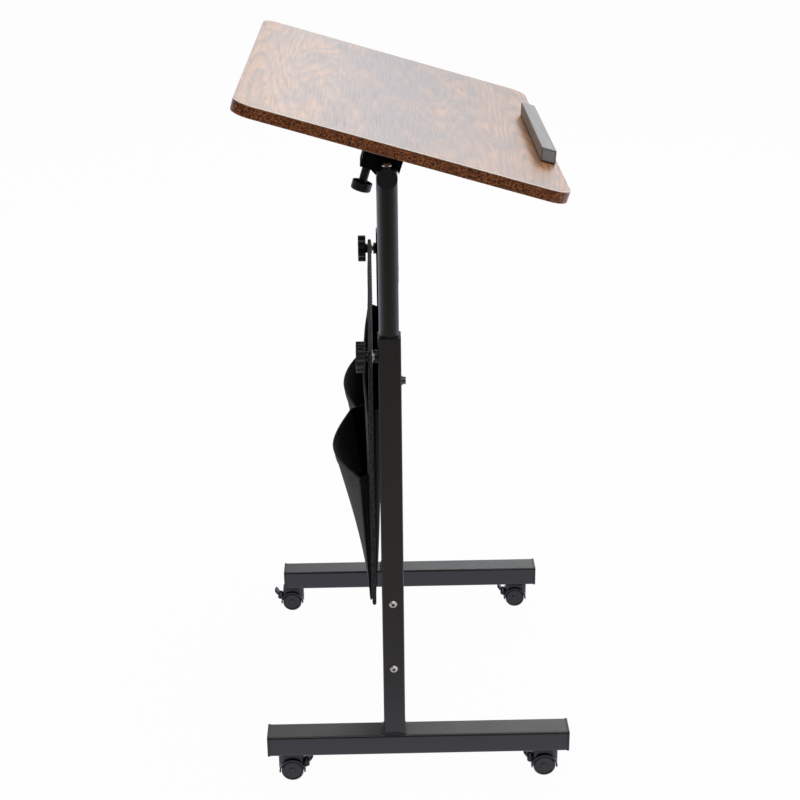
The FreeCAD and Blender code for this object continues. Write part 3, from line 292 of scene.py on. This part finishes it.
# Bag panel: two layers of dark grey needled felt over a stiffener, cut flat, with a folded and sewn hem.
# It hangs by an eye in each upper corner on the stems of the height knobs.
felt, shader = new_material("needled_felt")
place = add_node(felt, "ShaderNodeTexCoord", {}).outputs["Object"]
# A felt's fibres are finer than a pixel, so the mottle is drawn at the size of the tufts
tuft_mm = 2.8
tuft = add_node(
    felt,
    "ShaderNodeTexNoise",
    {"Vector": place, "Scale": 1000 / tuft_mm, "Detail": 5.0, "Roughness": 0.7},
)
tone = add_node(felt, "ShaderNodeMapRange", {"Value": tuft, "From Min": 0.36, "From Max": 0.66})
grey = add_node(
    felt,
    "ShaderNodeMix",
    {"Factor": tone, "A": linear("#0f0f10"), "B": linear("#48484a")},
    data_type="RGBA",
)
nap = add_node(felt, "ShaderNodeBump", {"Height": tuft, "Strength": 0.6, "Distance": 0.0006})
set_inputs(
    felt,
    shader,
    {
        "Base Color": grey,
        "Roughness": 0.95,
        "Specular IOR Level": 0.15,
        "Sheen Weight": 0.2,
        "Sheen Roughness": 0.5,
        "Normal": nap,
    },
)
# The inner pocket and the sides of the half-width ones are flatter and near black: partly woven black
# cloth, and partly painted shade for the crevices at the bag's ends and the gap by the columns
painted_shade_cloth, shader = new_material("painted_shade_cloth")
place = add_node(painted_shade_cloth, "ShaderNodeTexCoord", {}).outputs["Object"]
rib_mm = 1.5
rib = add_node(
    painted_shade_cloth, "ShaderNodeTexNoise", {"Vector": place, "Scale": 1000 / rib_mm, "Detail": 2.0}
)
weave = add_node(painted_shade_cloth, "ShaderNodeBump", {"Height": rib, "Strength": 0.4, "Distance": 0.0002})
set_inputs(
    painted_shade_cloth,
    shader,
    {
        "Base Color": linear("#0c0c0d"),
        "Roughness": 0.9,
        "Specular IOR Level": 0.2,
        "Normal": weave,
    },
)
# The seams are sewn with a smooth twisted thread, which glints a little more than the felt
thread, shader = new_material("polyester_thread")
place = add_node(thread, "ShaderNodeTexCoord", {}).outputs["Object"]
twist_mm = 0.5
twist = add_node(thread, "ShaderNodeTexNoise", {"Vector": place, "Scale": 1000 / twist_mm})
lustre = add_node(thread, "ShaderNodeMapRange", {"Value": twist, "To Min": 0.4, "To Max": 0.7})
set_inputs(thread, shader, {"Base Color": linear("#171718"), "Roughness": lustre})


def hang(name, cells, shape, thick, kept=None, painted_shade_share=0):
    """A sheet of felt: a grid that a function of 0 to 1 across and up bends into shape.

    A test of the same two values can keep a part of it only, and a share of its width at both sides
    can be of the near-black cloth that also paints shade.
    """
    cloth = bmesh.new()
    bmesh.ops.create_grid(cloth, x_segments=cells[0], y_segments=cells[1], size=0.5)
    spots = {corner: (corner.co.x + 0.5, corner.co.y + 0.5) for corner in cloth.verts}
    if kept:
        waste = []
        for face in cloth.faces:
            middle = face.calc_center_median()
            if not kept(middle.x + 0.5, middle.y + 0.5):
                waste.append(face)
        bmesh.ops.delete(cloth, geom=waste, context="FACES")
    for face in cloth.faces:
        # Painted shade: faces in that share of the width take the near-black cloth
        face.material_index = int(abs(face.calc_center_median().x) > 0.5 - painted_shade_share)
    for corner in cloth.verts:
        corner.co = shape(*spots[corner])
    piece = make_piece(name, cloth, felt, "frame")
    piece.data.materials.append(painted_shade_cloth)
    body = piece.modifiers.new("felt_thickness", "SOLIDIFY")
    body.thickness = thick
    body.offset = 0
    edge = piece.modifiers.new("soft_edge", "SUBSURF")
    edge.levels = 1
    edge.render_levels = 1
    return piece


stitch_pitch = 0.005
stitch_half = (0.0017, 0.00045, 0.0004)


def sew(name, shape, offset, lines):
    """Rows of stitches on one face of a sheet, each row between two spots given across and up."""
    stitches = bmesh.new()
    nudge = 0.002
    for start, end in lines:
        run = (shape(*end) - shape(*start)).length
        count = max(2, round(run / stitch_pitch))
        for i in range(count):
            share = (i + 0.5) / count
            u = start[0] + (end[0] - start[0]) * share
            v = start[1] + (end[1] - start[1]) * share
            across = shape(u + nudge, v) - shape(u - nudge, v)
            upward = shape(u, v + nudge) - shape(u, v - nudge)
            outward = across.cross(upward).normalized()
            is_level = abs(end[0] - start[0]) > abs(end[1] - start[1])
            along = (across if is_level else upward).normalized()
            basis = Matrix((along, outward.cross(along), outward)).transposed().to_4x4()
            stand = Matrix.Translation(shape(u, v) + outward * offset) @ basis
            bmesh.ops.create_icosphere(
                stitches, subdivisions=1, radius=1, matrix=stand @ Matrix.Diagonal((*stitch_half, 1))
            )
    return make_piece(name, stitches, thread, "frame")


def swing(y, z, waves, seed):
    """A slow uneven wave between -1 and 1, which repeats so many times to the metre across and up."""
    return noise.noise(Vector((y * waves[0], z * waves[1], seed)))


panel_low, panel_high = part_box("bag_panel")
panel_middle = (panel_low + panel_high) / 2
panel_half = (panel_high - panel_low) / 2
panel_slack = 0.0007
corner_round = 0.012
eye_radius = 0.0052
eye_reach = 0.009
eye_cut = 0.0031
eyes = []
for side in SIDES:
    stem_low, stem_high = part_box(f"height_screw_{side}")
    eyes.append(Vector(((stem_low.y + stem_high.y) / 2, (stem_low.z + stem_high.z) / 2)))


def panel_shape(u, v):
    """The panel, hanging almost flat, with round corners and an open eye for each stem."""
    flat = Vector(((2 * u - 1) * panel_half.y, (2 * v - 1) * panel_half.z))
    past_side = abs(flat.x) - panel_half.y + corner_round
    past_end = abs(flat.y) - panel_half.z + corner_round
    if past_side > 0 and past_end > 0:
        past = Vector((past_side, past_end))
        drawn = past * (max(past) / past.length) - past
        flat += Vector((math.copysign(drawn.x, flat.x), math.copysign(drawn.y, flat.y)))
    spot = Vector((panel_middle.y, panel_middle.z)) + flat
    for eye in eyes:
        away = spot - eye
        if 0 < away.length < eye_reach:
            pushed = eye_radius + away.length * (eye_reach - eye_radius) / eye_reach
            spot = eye + away.normalized() * pushed
    slack = panel_slack * swing(spot.x, spot.y, waves=(9, 9), seed=3.1)
    return Vector((panel_middle.x + slack, spot.x, spot.y))


def near_edge(u, v, border):
    """Whether a spot lies within a border of the panel's outline."""
    return min(u, 1 - u) * 2 * panel_half.y < border or min(v, 1 - v) * 2 * panel_half.z < border


def off_eyes(u, v):
    """Whether a spot of the flat panel lies outside the holes that are cut for the stems."""
    flat = Vector(((2 * u - 1) * panel_half.y, (2 * v - 1) * panel_half.z))
    spot = Vector((panel_middle.y, panel_middle.z)) + flat
    return all((spot - eye).length > eye_cut for eye in eyes)


panel = hang("bag_panel_felt", cells=(121, 87), shape=panel_shape, thick=0.0046, kept=off_eyes)
hem_wide = 0.010
hem = hang(
    "bag_panel_hem",
    cells=(180, 130),
    shape=panel_shape,
    thick=0.0053,
    kept=lambda u, v: near_edge(u, v, hem_wide) and off_eyes(u, v),
)
hem_row = 0.0075
hem_row_stand = 0.0026
below_eyes = 0.94
inset_u = hem_row / (2 * panel_half.y)
inset_v = hem_row / (2 * panel_half.z)
hem_rows = [
    ((2 * inset_u, inset_v), (1 - 2 * inset_u, inset_v)),
    ((2 * inset_u, 1 - inset_v), (1 - 2 * inset_u, 1 - inset_v)),
    ((inset_u, 2 * inset_v), (inset_u, below_eyes)),
    ((1 - inset_u, 2 * inset_v), (1 - inset_u, below_eyes)),
]
back_row = sew("bag_panel_stitches_back", panel_shape, -hem_row_stand, hem_rows)
front_row = sew("bag_panel_stitches_front", panel_shape, hem_row_stand, hem_rows)
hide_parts("bag_panel")

# Full-width pockets: a sheet of felt on the back of the panel and one of near-black cloth on its front, its
# black partly painted shade.
# Both are sewn at the sides and below, and cut a little wider, so their hemmed mouths stand open.
pocket_felt = 0.0016
pocket_sag = 0.0012
main_low, main_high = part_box("bag_main_pocket")
main_slack_half = 0.9 * main_high.y
main_foot_slack = 0.0006
main_mouth_slack = 0.0058
main_mouth_rise = 0.0022


def main_depth(y, z):
    """How far the pocket on the back stands off the panel's back face, to the middle of the felt."""
    share = (z - main_low.z) / (main_high.z - main_low.z)
    aside = abs(y) / main_slack_half
    return pocket_felt / 2 + (main_foot_slack + main_mouth_slack * share) * max(0, 1 - aside ** 2)


def main_shape(u, v):
    """The felt pocket on the back, which lies close to the panel and opens a little at its mouth."""
    y = main_low.y + u * (main_high.y - main_low.y)
    z = main_low.z + pocket_felt / 2 + v * (main_high.z - main_low.z + main_mouth_rise)
    sag = pocket_sag * v * swing(y, z, waves=(11, 5), seed=0.4) * (1 - abs(2 * u - 1) ** 3)
    return Vector((panel_low.x - main_depth(y, z) + sag, y, z))


user_low, user_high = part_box("bag_user_pocket")
user_mouth_rise = 0.0082
user_mouth_open = 0.0115
user_seam_sunk = 0.0007
user_fullness = 0.6
user_squareness = 24


def user_shape(u, v):
    """The cloth pocket on the front, which stands off all over and is drawn in only at its seams."""
    y = user_high.y - u * (user_high.y - user_low.y)
    z = user_low.z + pocket_felt / 2 + v * (user_high.z - user_low.z + user_mouth_rise)
    full = user_mouth_open * v ** user_fullness * (1 - abs(2 * u - 1) ** user_squareness)
    sag = pocket_sag * v * swing(y, z, waves=(10, 5), seed=7.4) * (1 - abs(2 * u - 1) ** 3)
    return Vector((panel_high.x - user_seam_sunk + full + sag, y, z))


mouth_thick = 0.0029
mouth_cells_up = 120
mouth_fold = 0.014
mouth_row = 0.0115
mouth_row_stand = -0.0015
seam_inset = 0.004
seam_stand = -0.0009


def add_pocket(name, shape, cells, flat, painted_shade_share=0):
    """A pocket's sheet with a doubled hem along its mouth, and its seams."""
    pocket = hang(name, cells, shape, pocket_felt, None, painted_shade_share)
    fold = 1 - mouth_fold / flat[1]
    mouth_cells = (cells[0], mouth_cells_up)
    mouth = hang(name + "_hem", mouth_cells, shape, mouth_thick, lambda u, v: v > fold, painted_shade_share)
    row = 1 - mouth_row / flat[1]
    edge_u = seam_inset / flat[0]
    edge_v = seam_inset / flat[1]
    seams = [
        ((edge_u, edge_v), (1 - edge_u, edge_v)),
        ((edge_u, edge_v), (edge_u, 1 - edge_v)),
        ((1 - edge_u, edge_v), (1 - edge_u, 1 - edge_v)),
    ]
    seam = sew(name + "_stitches", shape, seam_stand, seams)
    hem_seams = [((edge_u, row), (1 - edge_u, row))]
    hem_seam = sew(name + "_hem_stitches", shape, mouth_row_stand, hem_seams)
    return pocket


main_pocket = add_pocket(
    "bag_main_pocket_felt", main_shape, cells=(96, 40), flat=(0.478, 0.248)
)
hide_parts("bag_main_pocket")
# The whole inner pocket takes the near-black cloth, partly painted shade for its recess by the columns
user_pocket = add_pocket(
    "bag_user_pocket_cloth", user_shape, cells=(90, 40), flat=(0.433, 0.252), painted_shade_share=1
)
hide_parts("bag_user_pocket")

# Half-width pockets: two sheets of felt on the outer full-width pocket, cut wider than their seams.
# Each has a short fold at both sides, so the slack hangs forward as a bow that is deepest at the mouth.
fold_share = 0.05
side_gap = 0.001
foot_drop = 0.0012
mouth_dip = 0.003
corner_lift = 0.006
crease_depth = 0.0011


def half_shape(low, high, bow, first_fold, last_fold):
    """The shape of a bowed pocket between two side seams, as a function of 0 to 1 across and up."""
    def shape(u, v):
        inside = min(max((u - fold_share) / (1 - 2 * fold_share), 0), 1)
        aside = min(u, 1 - u, fold_share) / fold_share
        swell = math.sin(math.pi * inside)
        y = low.y + side_gap + inside * (high.y - low.y - 2 * side_gap)
        foot = panel_low.z - foot_drop
        z = foot + v * (high.z - foot) - mouth_dip * swell * v ** 2 + corner_lift * (1 - aside) * v
        fold = first_fold + (last_fold - first_fold) * inside
        lying = pocket_felt * min(1, 4 * aside)
        stand = fold * aside * v + (bow - fold) * swell * v + lying
        crease = crease_depth * swing(y, z, waves=(16, 7), seed=1.7) * swell
        return Vector((panel_low.x - main_depth(y, z) - stand + crease, y, z))
    return shape


# The side folds take the near-black cloth, partly painted shade in the crevices
left_low, left_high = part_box("bag_left_pocket")
left_pocket = add_pocket(
    "bag_left_pocket_felt",
    half_shape(left_low, left_high, bow=0.043, first_fold=0.0105, last_fold=0.0195),
    cells=(60, 30),
    flat=(0.280, 0.174),
    painted_shade_share=fold_share,
)
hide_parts("bag_left_pocket")
right_low, right_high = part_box("bag_right_pocket")
right_pocket = add_pocket(
    "bag_right_pocket_felt",
    half_shape(right_low, right_high, bow=0.032, first_fold=0.0125, last_fold=0.009),
    cells=(60, 30),
    flat=(0.264, 0.174),
    painted_shade_share=fold_share,
)
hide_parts("bag_right_pocket")

# Desktop: particle board under a printed melamine paper with a rustic oak figure.
# The paper wraps the edges, with a darker burr print there, and the cured resin has a satin gloss.
tilt = math.radians(16.5)
head_low, head_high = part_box("head_tube")
axis_x = (head_low.x + head_high.x) / 2
axis_z = (head_low.z + head_high.z) / 2
# The board tilts round the head tube's axis, and its top stands this far off that axis
board_top = 0.0525
board_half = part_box("desktop")[1].y
laminate, shader = new_material("melamine_laminate")
level = Matrix.Rotation(-tilt, 3, "Y")
place = add_node(laminate, "ShaderNodeTexCoord", {}).outputs["Object"]
board = add_node(
    laminate,
    "ShaderNodeMapping",
    {"Vector": place, "Location": level @ Vector((-axis_x, 0, -axis_z)), "Rotation": (0, -tilt, 0)},
)
parts = add_node(laminate, "ShaderNodeSeparateXYZ", {"Vector": board}).outputs

# Growth rings: contour lines of a slow swirl, drawn out along the width of the desk, with ragged edges
swirl_mm = (111.1, 1000)
swirl_place = add_node(
    laminate, "ShaderNodeMapping", {"Vector": board, "Scale": (1000 / swirl_mm[0], 1000 / swirl_mm[1], 0)}
)
swirl = add_node(
    laminate,
    "ShaderNodeTexNoise",
    {"Vector": swirl_place, "Scale": 1.0, "Detail": 1.5, "Roughness": 0.4},
)
blotch_mm = (41.67, 111.1)
blotch_place = add_node(
    laminate, "ShaderNodeMapping", {"Vector": board, "Scale": (1000 / blotch_mm[0], 1000 / blotch_mm[1], 0)}
)
blotch = add_node(
    laminate,
    "ShaderNodeTexNoise",
    {"Vector": blotch_place, "Scale": 1.0, "Detail": 5.0, "Roughness": 0.65},
)
rings_across = 28
raggedness = 14.0
ragged = add_node(laminate, "ShaderNodeMath", {0: blotch, 1: raggedness}, operation="MULTIPLY")
rings = add_node(
    laminate,
    "ShaderNodeMath",
    {0: swirl, 1: 2 * math.pi * rings_across, 2: ragged},
    operation="MULTIPLY_ADD",
)
wave = add_node(laminate, "ShaderNodeMath", {0: rings}, operation="SINE")
line = add_node(laminate, "ShaderNodeMapRange", {"Value": wave, "From Min": -0.2, "From Max": 1.0})
# The paper is printed warmer towards both ends of the board's slope than in the middle
warmer_per_metre = 1.3
aside = add_node(laminate, "ShaderNodeMath", {0: parts["X"]}, operation="ABSOLUTE")
warmth = add_node(
    laminate, "ShaderNodeMath", {0: aside, 1: warmer_per_metre, 2: blotch}, operation="MULTIPLY_ADD"
)
patchy = add_node(laminate, "ShaderNodeMapRange", {"Value": warmth, "From Min": 0.5, "From Max": 0.8})
# The rings are printed boldly there too, and hardly at all in the middle
boldness = add_node(laminate, "ShaderNodeMapRange", {"Value": patchy, "To Min": 0.14, "To Max": 0.5})
ring_share = add_node(laminate, "ShaderNodeMath", {0: line, 1: boldness}, operation="MULTIPLY")
pore_mm = (2.381, 71.43)
pore_place = add_node(
    laminate, "ShaderNodeMapping", {"Vector": board, "Scale": (1000 / pore_mm[0], 1000 / pore_mm[1], 0)}
)
pore = add_node(laminate, "ShaderNodeTexNoise", {"Vector": pore_place, "Scale": 1.0, "Detail": 2.0})
pore_share = add_node(
    laminate, "ShaderNodeMapRange", {"Value": pore, "From Min": 0.45, "From Max": 0.8, "To Max": 0.4}
)
ground = add_node(
    laminate,
    "ShaderNodeMix",
    {"Factor": patchy, "A": linear("#7d6156"), "B": linear("#b57f4c")},
    data_type="RGBA",
)
ringed = add_node(
    laminate,
    "ShaderNodeMix",
    {"Factor": ring_share, "A": ground, "B": linear("#5a453e")},
    data_type="RGBA",
)
fibred = add_node(
    laminate,
    "ShaderNodeMix",
    {"Factor": pore_share, "A": ringed, "B": linear("#4a3730")},
    data_type="RGBA",
)

# Edge band: a burr print of dark and rust flecks, coarser than the top's fibres
fleck_mm = 2.5
fleck = add_node(
    laminate,
    "ShaderNodeTexNoise",
    {"Vector": board, "Scale": 1000 / fleck_mm, "Detail": 6.0, "Roughness": 0.74},
)
fleck_share = add_node(
    laminate, "ShaderNodeMapRange", {"Value": fleck, "From Min": 0.43, "From Max": 0.59}
)
rust_mm = 11
rust = add_node(
    laminate, "ShaderNodeTexNoise", {"Vector": board, "Scale": 1000 / rust_mm, "Detail": 2.0}
)
rust_tone = add_node(
    laminate,
    "ShaderNodeMix",
    {"Factor": rust, "A": linear("#8a4420"), "B": linear("#dd8240")},
    data_type="RGBA",
)
burr = add_node(
    laminate,
    "ShaderNodeMix",
    {"Factor": fleck_share, "A": linear("#1d110a"), "B": rust_tone},
    data_type="RGBA",
)
band_below = (0.0012, 0.0009)
on_edge = add_node(
    laminate,
    "ShaderNodeMapRange",
    {
        "Value": parts["Z"],
        "From Min": board_top - band_below[0],
        "From Max": board_top - band_below[1],
        "To Min": 1.0,
        "To Max": 0.0,
    },
)

# Along the upper edge a fine pale line is a painted highlight, where the rounded edge would catch the light
rim_below = (0.00012, 0.00002)
on_rim = add_node(
    laminate,
    "ShaderNodeMapRange",
    {
        "Value": parts["Z"],
        "From Min": board_top - rim_below[0],
        "From Max": board_top - rim_below[1],
        "To Min": 1.0,
        "To Max": 0.0,
    },
)
outward = add_node(laminate, "ShaderNodeMath", {0: parts["Y"]}, operation="ABSOLUTE")
rim_inside = (0.0017, 0.0006)
on_side = add_node(
    laminate,
    "ShaderNodeMapRange",
    {
        "Value": outward,
        "From Min": board_half - rim_inside[0],
        "From Max": board_half - rim_inside[1],
    },
)
# Painted highlight: the rim line and the lines by the board's ends are mixed towards pale cream
edge_highlight = add_node(laminate, "ShaderNodeMath", {0: on_rim, 1: on_side}, operation="MAXIMUM")
highlighted = add_node(
    laminate,
    "ShaderNodeMix",
    {"Factor": edge_highlight, "A": fibred, "B": linear("#f4ebe1")},
    data_type="RGBA",
)
finish = add_node(
    laminate, "ShaderNodeMix", {"Factor": on_edge, "A": highlighted, "B": burr}, data_type="RGBA"
)
satin = add_node(laminate, "ShaderNodeMapRange", {"Value": pore, "To Min": 0.26, "To Max": 0.4})
relief = add_node(laminate, "ShaderNodeBump", {"Height": pore, "Strength": 0.12, "Distance": 0.0001})
set_inputs(
    laminate,
    shader,
    {
        "Base Color": finish,
        "Roughness": satin,
        "Coat Weight": 0.08,
        "Coat Roughness": 0.3,
        "Normal": relief,
    },
)
paint(laminate, "desktop")

# Stop bar: a leaning strip of grey ABS, with a pale plate sunk into each end.
# It sits on a thin foam strip, so it doesn't mark the laminate, and two screws hold it from below.
grey_abs, shader = new_material("drawn_grey_abs")
place = add_node(grey_abs, "ShaderNodeTexCoord", {}).outputs["Object"]
# The strip is drawn through a die, which leaves faint lines along it
streak_mm = (1.4286, 111.1)
streak_place = add_node(
    grey_abs,
    "ShaderNodeMapping",
    {"Vector": place, "Scale": (1000 / streak_mm[0], 1000 / streak_mm[1], 1000 / streak_mm[0])},
)
drawn = add_node(grey_abs, "ShaderNodeTexNoise", {"Vector": streak_place, "Scale": 1.0, "Detail": 3.0})
streak = add_node(grey_abs, "ShaderNodeMapRange", {"Value": drawn, "From Min": 0.3, "From Max": 0.7})
grey = add_node(
    grey_abs,
    "ShaderNodeMix",
    {"Factor": streak, "A": linear("#73706d"), "B": linear("#9f9b98")},
    data_type="RGBA",
)
satin = add_node(grey_abs, "ShaderNodeMapRange", {"Value": drawn, "To Min": 0.36, "To Max": 0.58})
set_inputs(grey_abs, shader, {"Base Color": grey, "Specular IOR Level": 0.3, "Roughness": satin})
paint(grey_abs, "stop_bar")
# The plates come from a polished mould, so they are smoother than the strip and mirror more of the room;
# their pale blue-grey is partly painted reflection of the bright room
pale_abs_painted_reflection, shader = new_material("moulded_abs_painted_reflection")
place = add_node(pale_abs_painted_reflection, "ShaderNodeTexCoord", {}).outputs["Object"]
polish_mm = 6
polish = add_node(
    pale_abs_painted_reflection, "ShaderNodeTexNoise", {"Vector": place, "Scale": 1000 / polish_mm, "Detail": 2.0}
)
shine = add_node(pale_abs_painted_reflection, "ShaderNodeMapRange", {"Value": polish, "To Min": 0.2, "To Max": 0.35})
# Painted reflection in part: the plates' base colour is a pale blue-grey
set_inputs(pale_abs_painted_reflection, shader, {"Base Color": linear("#a2a9b1"), "Roughness": shine})
# Each plate is the flat floor of the sunk end, cut a little smaller and raised
bar_low, bar_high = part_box("stop_bar")
sunk = 0.001
sunk_play = 0.0002
plate_gap = 0.0003
plate_thick = 0.0006
largest_rim_area = 0.00001
facing_out = 0.99
plates = bmesh.new()
plates.from_mesh(nodes["stop_bar"].data)
plates.transform(nodes["stop_bar"].matrix_world)
spare = []
for face in plates.faces:
    middle = face.calc_center_median()
    inward = min(middle.y - bar_low.y, bar_high.y - middle.y)
    if abs(face.normal.y) < facing_out or abs(inward - sunk) > sunk_play:
        spare.append(face)
bmesh.ops.delete(plates, geom=spare, context="FACES")
bmesh.ops.dissolve_limit(plates, angle_limit=0.01, verts=plates.verts[:], edges=plates.edges[:])
bmesh.ops.inset_region(plates, faces=plates.faces[:], thickness=plate_gap, use_boundary=True)
rim = [face for face in plates.faces if len(face.verts) == 4 and face.calc_area() < largest_rim_area]
bmesh.ops.delete(plates, geom=rim, context="FACES")
raised = bmesh.ops.extrude_face_region(plates, geom=plates.faces[:])
for part in raised["geom"]:
    if isinstance(part, bmesh.types.BMVert):
        part.co.y += math.copysign(plate_thick, part.co.y - (bar_low.y + bar_high.y) / 2)
bmesh.ops.recalc_face_normals(plates, faces=plates.faces[:])
piece = make_piece("stop_bar_end_plates", plates, pale_abs_painted_reflection, "table")
piece.data.shade_flat()
# The foam's open cells swallow the light, so the strip shows as a matt black line
foam, shader = new_material("foam_strip")
place = add_node(foam, "ShaderNodeTexCoord", {}).outputs["Object"]
cell_mm = 0.8
cells = add_node(foam, "ShaderNodeTexVoronoi", {"Vector": place, "Scale": 1000 / cell_mm})
dents = add_node(foam, "ShaderNodeBump", {"Height": cells, "Strength": 0.5, "Distance": 0.0002})
set_inputs(foam, shader, {"Base Color": linear("#0f0f10"), "Roughness": 0.9, "Normal": dents})
paint(foam, "stop_bar_pad")

# Floor: a white studio sweep whose reflections are a painted glow, brightest under the desk and fading into
# the room towards the camera.
# It shows plain white to the camera and keeps a faint shadow under the casters.
floor_half = 15
floor_drop = 0.0004
sweep_mesh = bmesh.new()
bmesh.ops.create_grid(sweep_mesh, x_segments=1, y_segments=1, size=floor_half)
bmesh.ops.translate(sweep_mesh, verts=sweep_mesh.verts[:], vec=(0, 0, -floor_drop))
sweep_data = bpy.data.meshes.new("sweep")
sweep_mesh.to_mesh(sweep_data)
sweep_mesh.free()
sweep = bpy.data.objects.new("sweep", sweep_data)
bpy.context.scene.collection.objects.link(sweep)
paper, shader = new_material("white_paper")
set_inputs(paper, shader, {"Base Color": linear("#f2f2f2"), "Roughness": 0.9})
place = add_node(paper, "ShaderNodeTexCoord", {}).outputs["Object"]
depth = add_node(paper, "ShaderNodeSeparateXYZ", {"Vector": place}).outputs["Y"]
# In the coat's reflections the far floor is dim, then a little warm, and cool and bright close to the feet.
# These are levels of light, one of them above white, so they aren't written as hex colours
far_light = (0.1, 0.1, 0.1, 1)
warm_light = (0.51, 0.46, 0.43, 1)
near_light = (1.04, 1.0, 1.19, 1)
# Painted reflection: glossy rays see the floor glow with this gradient in place of lit paper
fade = add_node(paper, "ShaderNodeMapRange", {"Value": depth, "From Min": -2.4, "From Max": -1.7})
room = add_node(
    paper, "ShaderNodeMix", {"Factor": fade, "A": far_light, "B": warm_light}, data_type="RGBA"
)
close_by = add_node(paper, "ShaderNodeMapRange", {"Value": depth, "From Min": -0.5, "From Max": -0.34})
mirrored = add_node(
    paper, "ShaderNodeMix", {"Factor": close_by, "A": room, "B": near_light}, data_type="RGBA"
)
ray = add_node(paper, "ShaderNodeLightPath", {}).outputs
glow = add_node(
    paper,
    "ShaderNodeMix",
    {"Factor": ray["Is Glossy Ray"], "A": linear("#ffffff"), "B": mirrored},
    data_type="RGBA",
)
white = add_node(paper, "ShaderNodeEmission", {"Color": glow})
# What the camera sees directly is nearly all glow, and the rest takes the shadow
plain_share = 0.97
share = add_node(
    paper,
    "ShaderNodeMath",
    {0: ray["Is Camera Ray"], 1: plain_share, 2: ray["Is Glossy Ray"]},
    operation="MULTIPLY_ADD",
)
mixed = add_node(paper, "ShaderNodeMixShader", {0: share, 1: shader, 2: white})
set_inputs(paper, paper.node_tree.nodes["Material Output"], {"Surface": mixed})
sweep_data.materials.append(paper)

# Studio light: a white backdrop behind the desk, a soft box over it and one overhead.
# Reflections see the backdrop bright at the back and the room dark in front.
world = bpy.data.worlds.new("studio")
bpy.context.scene.world = world
world.use_nodes = True
way = add_node(world, "ShaderNodeTexCoord", {}).outputs["Generated"]
rear = (1.0, 1.0, -0.45)
rearward = add_node(world, "ShaderNodeVectorMath", {0: way, 1: rear}, operation="DOT_PRODUCT")
mirrored = add_node(
    world,
    "ShaderNodeMapRange",
    {"Value": rearward, "From Min": -1.0, "From Max": 1.2, "To Min": 0.1, "To Max": 1.4},
)
ambient = add_node(
    world,
    "ShaderNodeMapRange",
    {"Value": rearward, "From Min": -1.0, "From Max": 1.0, "To Min": 0.18, "To Max": 0.8},
)
ray = add_node(world, "ShaderNodeLightPath", {}).outputs
unseen = add_node(
    world, "ShaderNodeMix", {"Factor": ray["Is Glossy Ray"], "A": ambient, "B": mirrored}
)
strength = add_node(
    world, "ShaderNodeMix", {"Factor": ray["Is Camera Ray"], "A": unseen, "B": 1.0}
)
# Low over the floor the backdrop is dimmer and cooler in reflections, which calms the glare on the desktop
cool_light = (0.48, 0.58, 0.7, 1)
height = add_node(world, "ShaderNodeSeparateXYZ", {"Vector": way}).outputs["Z"]
low_part = add_node(
    world,
    "ShaderNodeMapRange",
    {"Value": height, "From Min": 0.22, "From Max": 0.42, "To Min": 1.0, "To Max": 0.0},
)
cooled = add_node(world, "ShaderNodeMath", {0: low_part, 1: ray["Is Glossy Ray"]}, operation="MULTIPLY")
cool = add_node(
    world,
    "ShaderNodeMix",
    {"Factor": cooled, "A": linear("#ffffff"), "B": cool_light},
    data_type="RGBA",
)
set_inputs(world, world.node_tree.nodes["Background"], {"Color": cool, "Strength": strength})
desk_middle = Vector((0, 0, 0.6))


def soft_box(name, place, wide, tall, watts):
    """A rectangular lamp that faces the middle of the desk."""
    lamp = bpy.data.lights.new(name, "AREA")
    lamp.shape = "RECTANGLE"
    lamp.size = wide
    lamp.size_y = tall
    lamp.energy = watts
    holder = bpy.data.objects.new(name, lamp)
    holder.location = place
    toward = desk_middle - Vector(place)
    holder.rotation_euler = toward.to_track_quat("-Z", "Y").to_euler()
    bpy.context.scene.collection.objects.link(holder)


soft_box("rear_box", (1.1, 3.0, 2.1), wide=2.6, tall=1.2, watts=19.5)
soft_box("top_box", (0.2, -0.4, 3.2), wide=2.0, tall=2.0, watts=35)

# Camera: a short telephoto at standing eye height, square to the side of the desk.
# Its place, angles and lens were fitted to the photograph's 800 by 800 frame.
camera_data = bpy.data.cameras.new("camera")
camera_data.sensor_width = 36
camera_data.lens = 69.99
camera = bpy.data.objects.new("camera", camera_data)
camera_place = Vector((axis_x - 0.01492, -2.02351, 1.28951))
yaw, pitch, roll = (math.radians(angle) for angle in (0.872, -22.265, -0.653))
ahead = Vector((math.sin(yaw) * math.cos(pitch), math.cos(yaw) * math.cos(pitch), math.sin(pitch)))
right = Vector((math.cos(yaw), -math.sin(yaw), 0))
upward = right.cross(ahead)
turned_right = math.cos(roll) * right + math.sin(roll) * upward
turned_up = -math.sin(roll) * right + math.cos(roll) * upward
basis = Matrix((turned_right, turned_up, -ahead)).transposed().to_4x4()
camera.matrix_world = Matrix.Translation(camera_place) @ basis
bpy.context.scene.collection.objects.link(camera)
bpy.context.scene.camera = camera
bpy.context.scene.view_settings.view_transform = "Standard"
